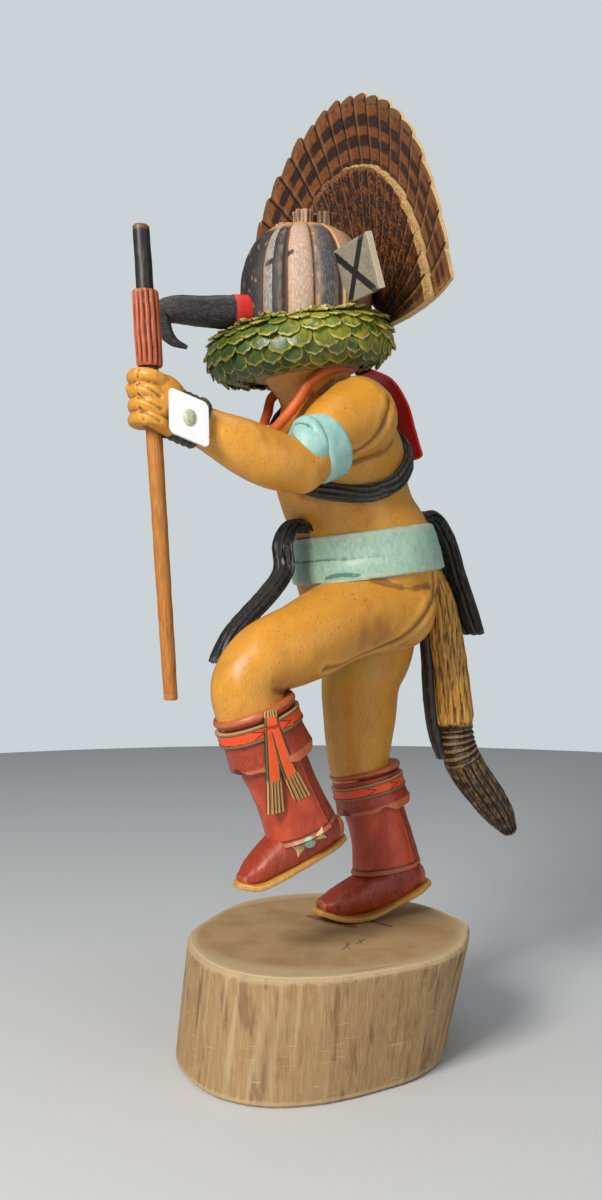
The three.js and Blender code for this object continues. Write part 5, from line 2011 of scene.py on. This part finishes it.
def plateShapes():
    start, end = (np.array(station[:3]) for station in wrist["stations"])
    facing = plate["facing"]
    inPlate = lambda way: unit(way - facing * way.dot(facing))
    along, plumb = inPlate(start - end), inPlate(np.array([0, 0, 1.0]))
    middle = (start + end) / 2 + facing * (wrist["stations"][0][3] + 0.3) - plumb * plate["drop"]
    long, tall, corner = plate["length"] / 2, plate["height"] / 2, plate["corner"]
    outline = []
    for quarter in range(4):
        for k in range(9):
            turn = math.pi / 2 * (quarter + k / 8)
            cx = (long - corner) * (1 if quarter in (0, 3) else -1)
            cy = (tall - corner) * (1 if quarter in (0, 1) else -1)
            outline.append((cx + corner * math.cos(turn), cy + corner * math.sin(turn)))
    rings = []
    for height, share in ((0, 0.98), (0.2, 1), (1.0, 1), (1.25, 0.98), (1.3, 0.93), (1.3, 0.6), (1.3, 0.25)):
        rings.append([middle + along * x * share + plumb * y * share + facing * height for x, y in outline])
    board = ringsToShape(rings, (0, 0.2, 0.8, 0.9, 1, 1, 1))
    return board, lump(middle + facing * plate["thickness"], plate["stone"], facing, sides=36, rows=20)


board, stone = plateShapes()
plainPiece("wristPlate", [board], platePaint, "plate_paint", nodes=("wrist_plate",), marks=0.04)
plainPiece("plateStone", [stone], stonePaint, "plate_paint", nodes=("wrist_plate",), marks=0.1)

print("stage: log")


# Where the photograph shows a place on the log's top.
def onTop(x, y):
    start = Vector(photo["place"])
    heading = Vector(photo["heading"])
    right = heading.cross(Vector((0, 0, 1)))
    aim = heading + right * ((x - photo["width"] / 2) / photo["focal"])
    aim.z -= (y - photo["height"] / 2) / photo["focal"]
    run = (baseTop - start.z) / aim.z
    return (start + aim * run)[:2]


inkTone, rustTone = (0.10, 0.075, 0.05), (0.22, 0.06, 0.035)
log = {"radius": 54, "height": baseTop, "rim": 1.4, "lean": 4.5, "taper": 5}
log["stains"] = [
    (onTop(312, 916), onTop(352, 926), 2.2, 0.8, rustTone),
    (onTop(368, 920), onTop(390, 926), 1.2, 0.8, (0.17, 0.07, 0.04)),
    (onTop(343, 949), onTop(350, 943), 0.35, 0.75, inkTone),
    (onTop(346, 943), onTop(350, 949), 0.3, 0.6, inkTone),
    (onTop(356, 944), onTop(365, 939), 0.35, 0.75, inkTone),
    (onTop(359, 939), onTop(362, 944), 0.3, 0.6, inkTone),
    (onTop(381, 950), onTop(393, 948), 0.3, 0.35, inkTone),
    (onTop(354, 971), onTop(399, 965), 0.35, 0.6, (0.16, 0.10, 0.06)),
]


def logRadius(bearing):
    def bump(centre, spread, rise):
        apart = (bearing - centre + 540) % 360 - 180
        return rise * math.exp(-((apart / spread) ** 2))

    swell = bump(-52, 30, 0.14) + bump(-135, 24, -0.085) + bump(72, 9, 0.035)
    return log["radius"] * (1 + swell + bump(165, 22, 0.02) + bump(0, 14, -0.02))


def logShape():
    sides, rows, hoops = 240, 60, 20
    height, rim = log["height"], log["rim"]
    levels = [(0, rim * 1.6, 1), (0, rim, 1), (rim * 0.8, 0, 1)]
    levels += [(rim * 0.8 + (height - 1.8 * rim) * i / rows, 0, 1) for i in range(1, rows)]
    levels += [(height - rim, 0, 1), (height - rim * 0.35, rim * 0.45, 1), (height, rim, 1)]
    levels += [(height, rim * 1.2, 1 - i / hoops) for i in range(1, hoops)]
    rings, alongs = [], []
    for level, inset, share in levels:
        ring = []
        for column in range(sides):
            bearing = 360 * column / sides - 90
            angle = math.radians(bearing)
            under = log["taper"] * (1 - level / height) * max(0, math.cos(math.radians(bearing - 50)))
            reach = logRadius(bearing) - inset - under
            onSide = 1 if inset < rim * 0.9 and share == 1 else 0.5 if share == 1 else 0
            spot = Vector((math.cos(angle) * 22, math.sin(angle) * 22, level / 30))
            reach += onSide * (0.3 * noise.noise(spot) + 0.35 * noise.noise(spot * 0.2) - 0.35)
            rough = 0.25 * noise.noise(Vector((math.cos(angle) * 9, math.sin(angle) * 9, 3))) if inset else 0
            reach = (reach + rough * (share == 1)) * share
            shift = log["lean"] * (1 - level / height)
            onFace = Vector((math.cos(angle) * share * 5, math.sin(angle) * share * 5, 7))
            dip = -0.12 * (0.5 + noise.noise(onFace))
            lift = dip if share < 1 else 0
            ring.append((
                reach * math.cos(angle) - 0.423 * shift,
                reach * math.sin(angle) - 0.906 * shift,
                level + lift,
            ))
        rings.append(ring)
        alongs.append(level / height)
    return ringsToShape(rings, alongs)


logPiece = meshOf("logBase", [logShape()], [logFinish().material], inRoom=True)
withNormalsOut(logPiece, 30)
feelHollows(logPiece, 6, 0.2)
place(logPiece, "log_wood", "log_base")

print("stage: room, light and camera")

room = {"floorTone": (0.62, 0.64, 0.65), "radius": 900, "sides": 96, "wallTone": (0.60, 0.65, 0.67)}


# A flat round floor, just under the log.
def floorPiece():
    angles = [2 * math.pi * k / room["sides"] for k in range(room["sides"])]
    rim = [(room["radius"] * math.cos(a) * mm, room["radius"] * math.sin(a) * mm, -0.05 * mm) for a in angles]
    mesh = bpy.data.meshes.new("paleFloor")
    mesh.from_pydata(rim, [], [list(range(room["sides"]))])
    piece = bpy.data.objects.new("paleFloor", mesh)
    bpy.context.scene.collection.objects.link(piece)
    cloth = Finish("paleCloth", Roughness=0.9)
    clouds = cloth.noise(cloth.spots((60, 60, 60)), 2) * 0.4
    cloth.colour(cloth.mixed(clouds, room["floorTone"], tuple(part * 0.94 for part in room["floorTone"])))
    mesh.materials.append(cloth.material)


floorPiece()

lights = {
    "key": {"place": (0.42, -0.72, 0.62), "size": 0.32, "power": 9.5, "tone": (1.0, 0.96, 0.9)},
    "fill": {"place": (0.85, 0.25, 0.35), "size": 0.7, "power": 1.6, "tone": (0.95, 0.97, 1.0)},
    "top": {"place": (0.0, 0.0, 1.1), "size": 0.7, "power": 2.2, "tone": (1.0, 1.0, 1.0)},
}

for name, lamp in lights.items():
    light = bpy.data.lights.new(name, "AREA")
    light.size = lamp["size"]
    light.energy = lamp["power"]
    light.color = lamp["tone"]
    stand = bpy.data.objects.new(name, light)
    stand.location = lamp["place"]
    aim = Vector((0, 0, 0.16)) - stand.location
    stand.rotation_euler = aim.to_track_quat("-Z", "Y").to_euler()
    bpy.context.scene.collection.objects.link(stand)

world = bpy.data.worlds.new("studio")
world.use_nodes = True
nodes, links = world.node_tree.nodes, world.node_tree.links
glow, pale, either = nodes["Background"], nodes.new("ShaderNodeBackground"), nodes.new("ShaderNodeMixShader")
glow.inputs["Color"].default_value = (0.9, 0.94, 1.0, 1)
glow.inputs["Strength"].default_value = 0.2
pale.inputs["Color"].default_value = (*room["wallTone"], 1)
links.new(nodes.new("ShaderNodeLightPath").outputs["Is Camera Ray"], either.inputs[0])
links.new(glow.outputs[0], either.inputs[1])
links.new(pale.outputs[0], either.inputs[2])
links.new(either.outputs[0], nodes["World Output"].inputs["Surface"])
bpy.context.scene.world = world
bpy.context.scene.view_settings.view_transform = "Standard"

camera = bpy.data.objects.new("camera", bpy.data.cameras.new("camera"))
camera.data.sensor_fit = "VERTICAL"
camera.data.sensor_height = 36
camera.data.lens = 36 * photo["focal"] / photo["height"]
camera.location = Vector(photo["place"]) * mm
camera.rotation_euler = Vector(photo["heading"]).to_track_quat("-Z", "Y").to_euler()
bpy.context.scene.collection.objects.link(camera)
bpy.context.scene.camera = camera
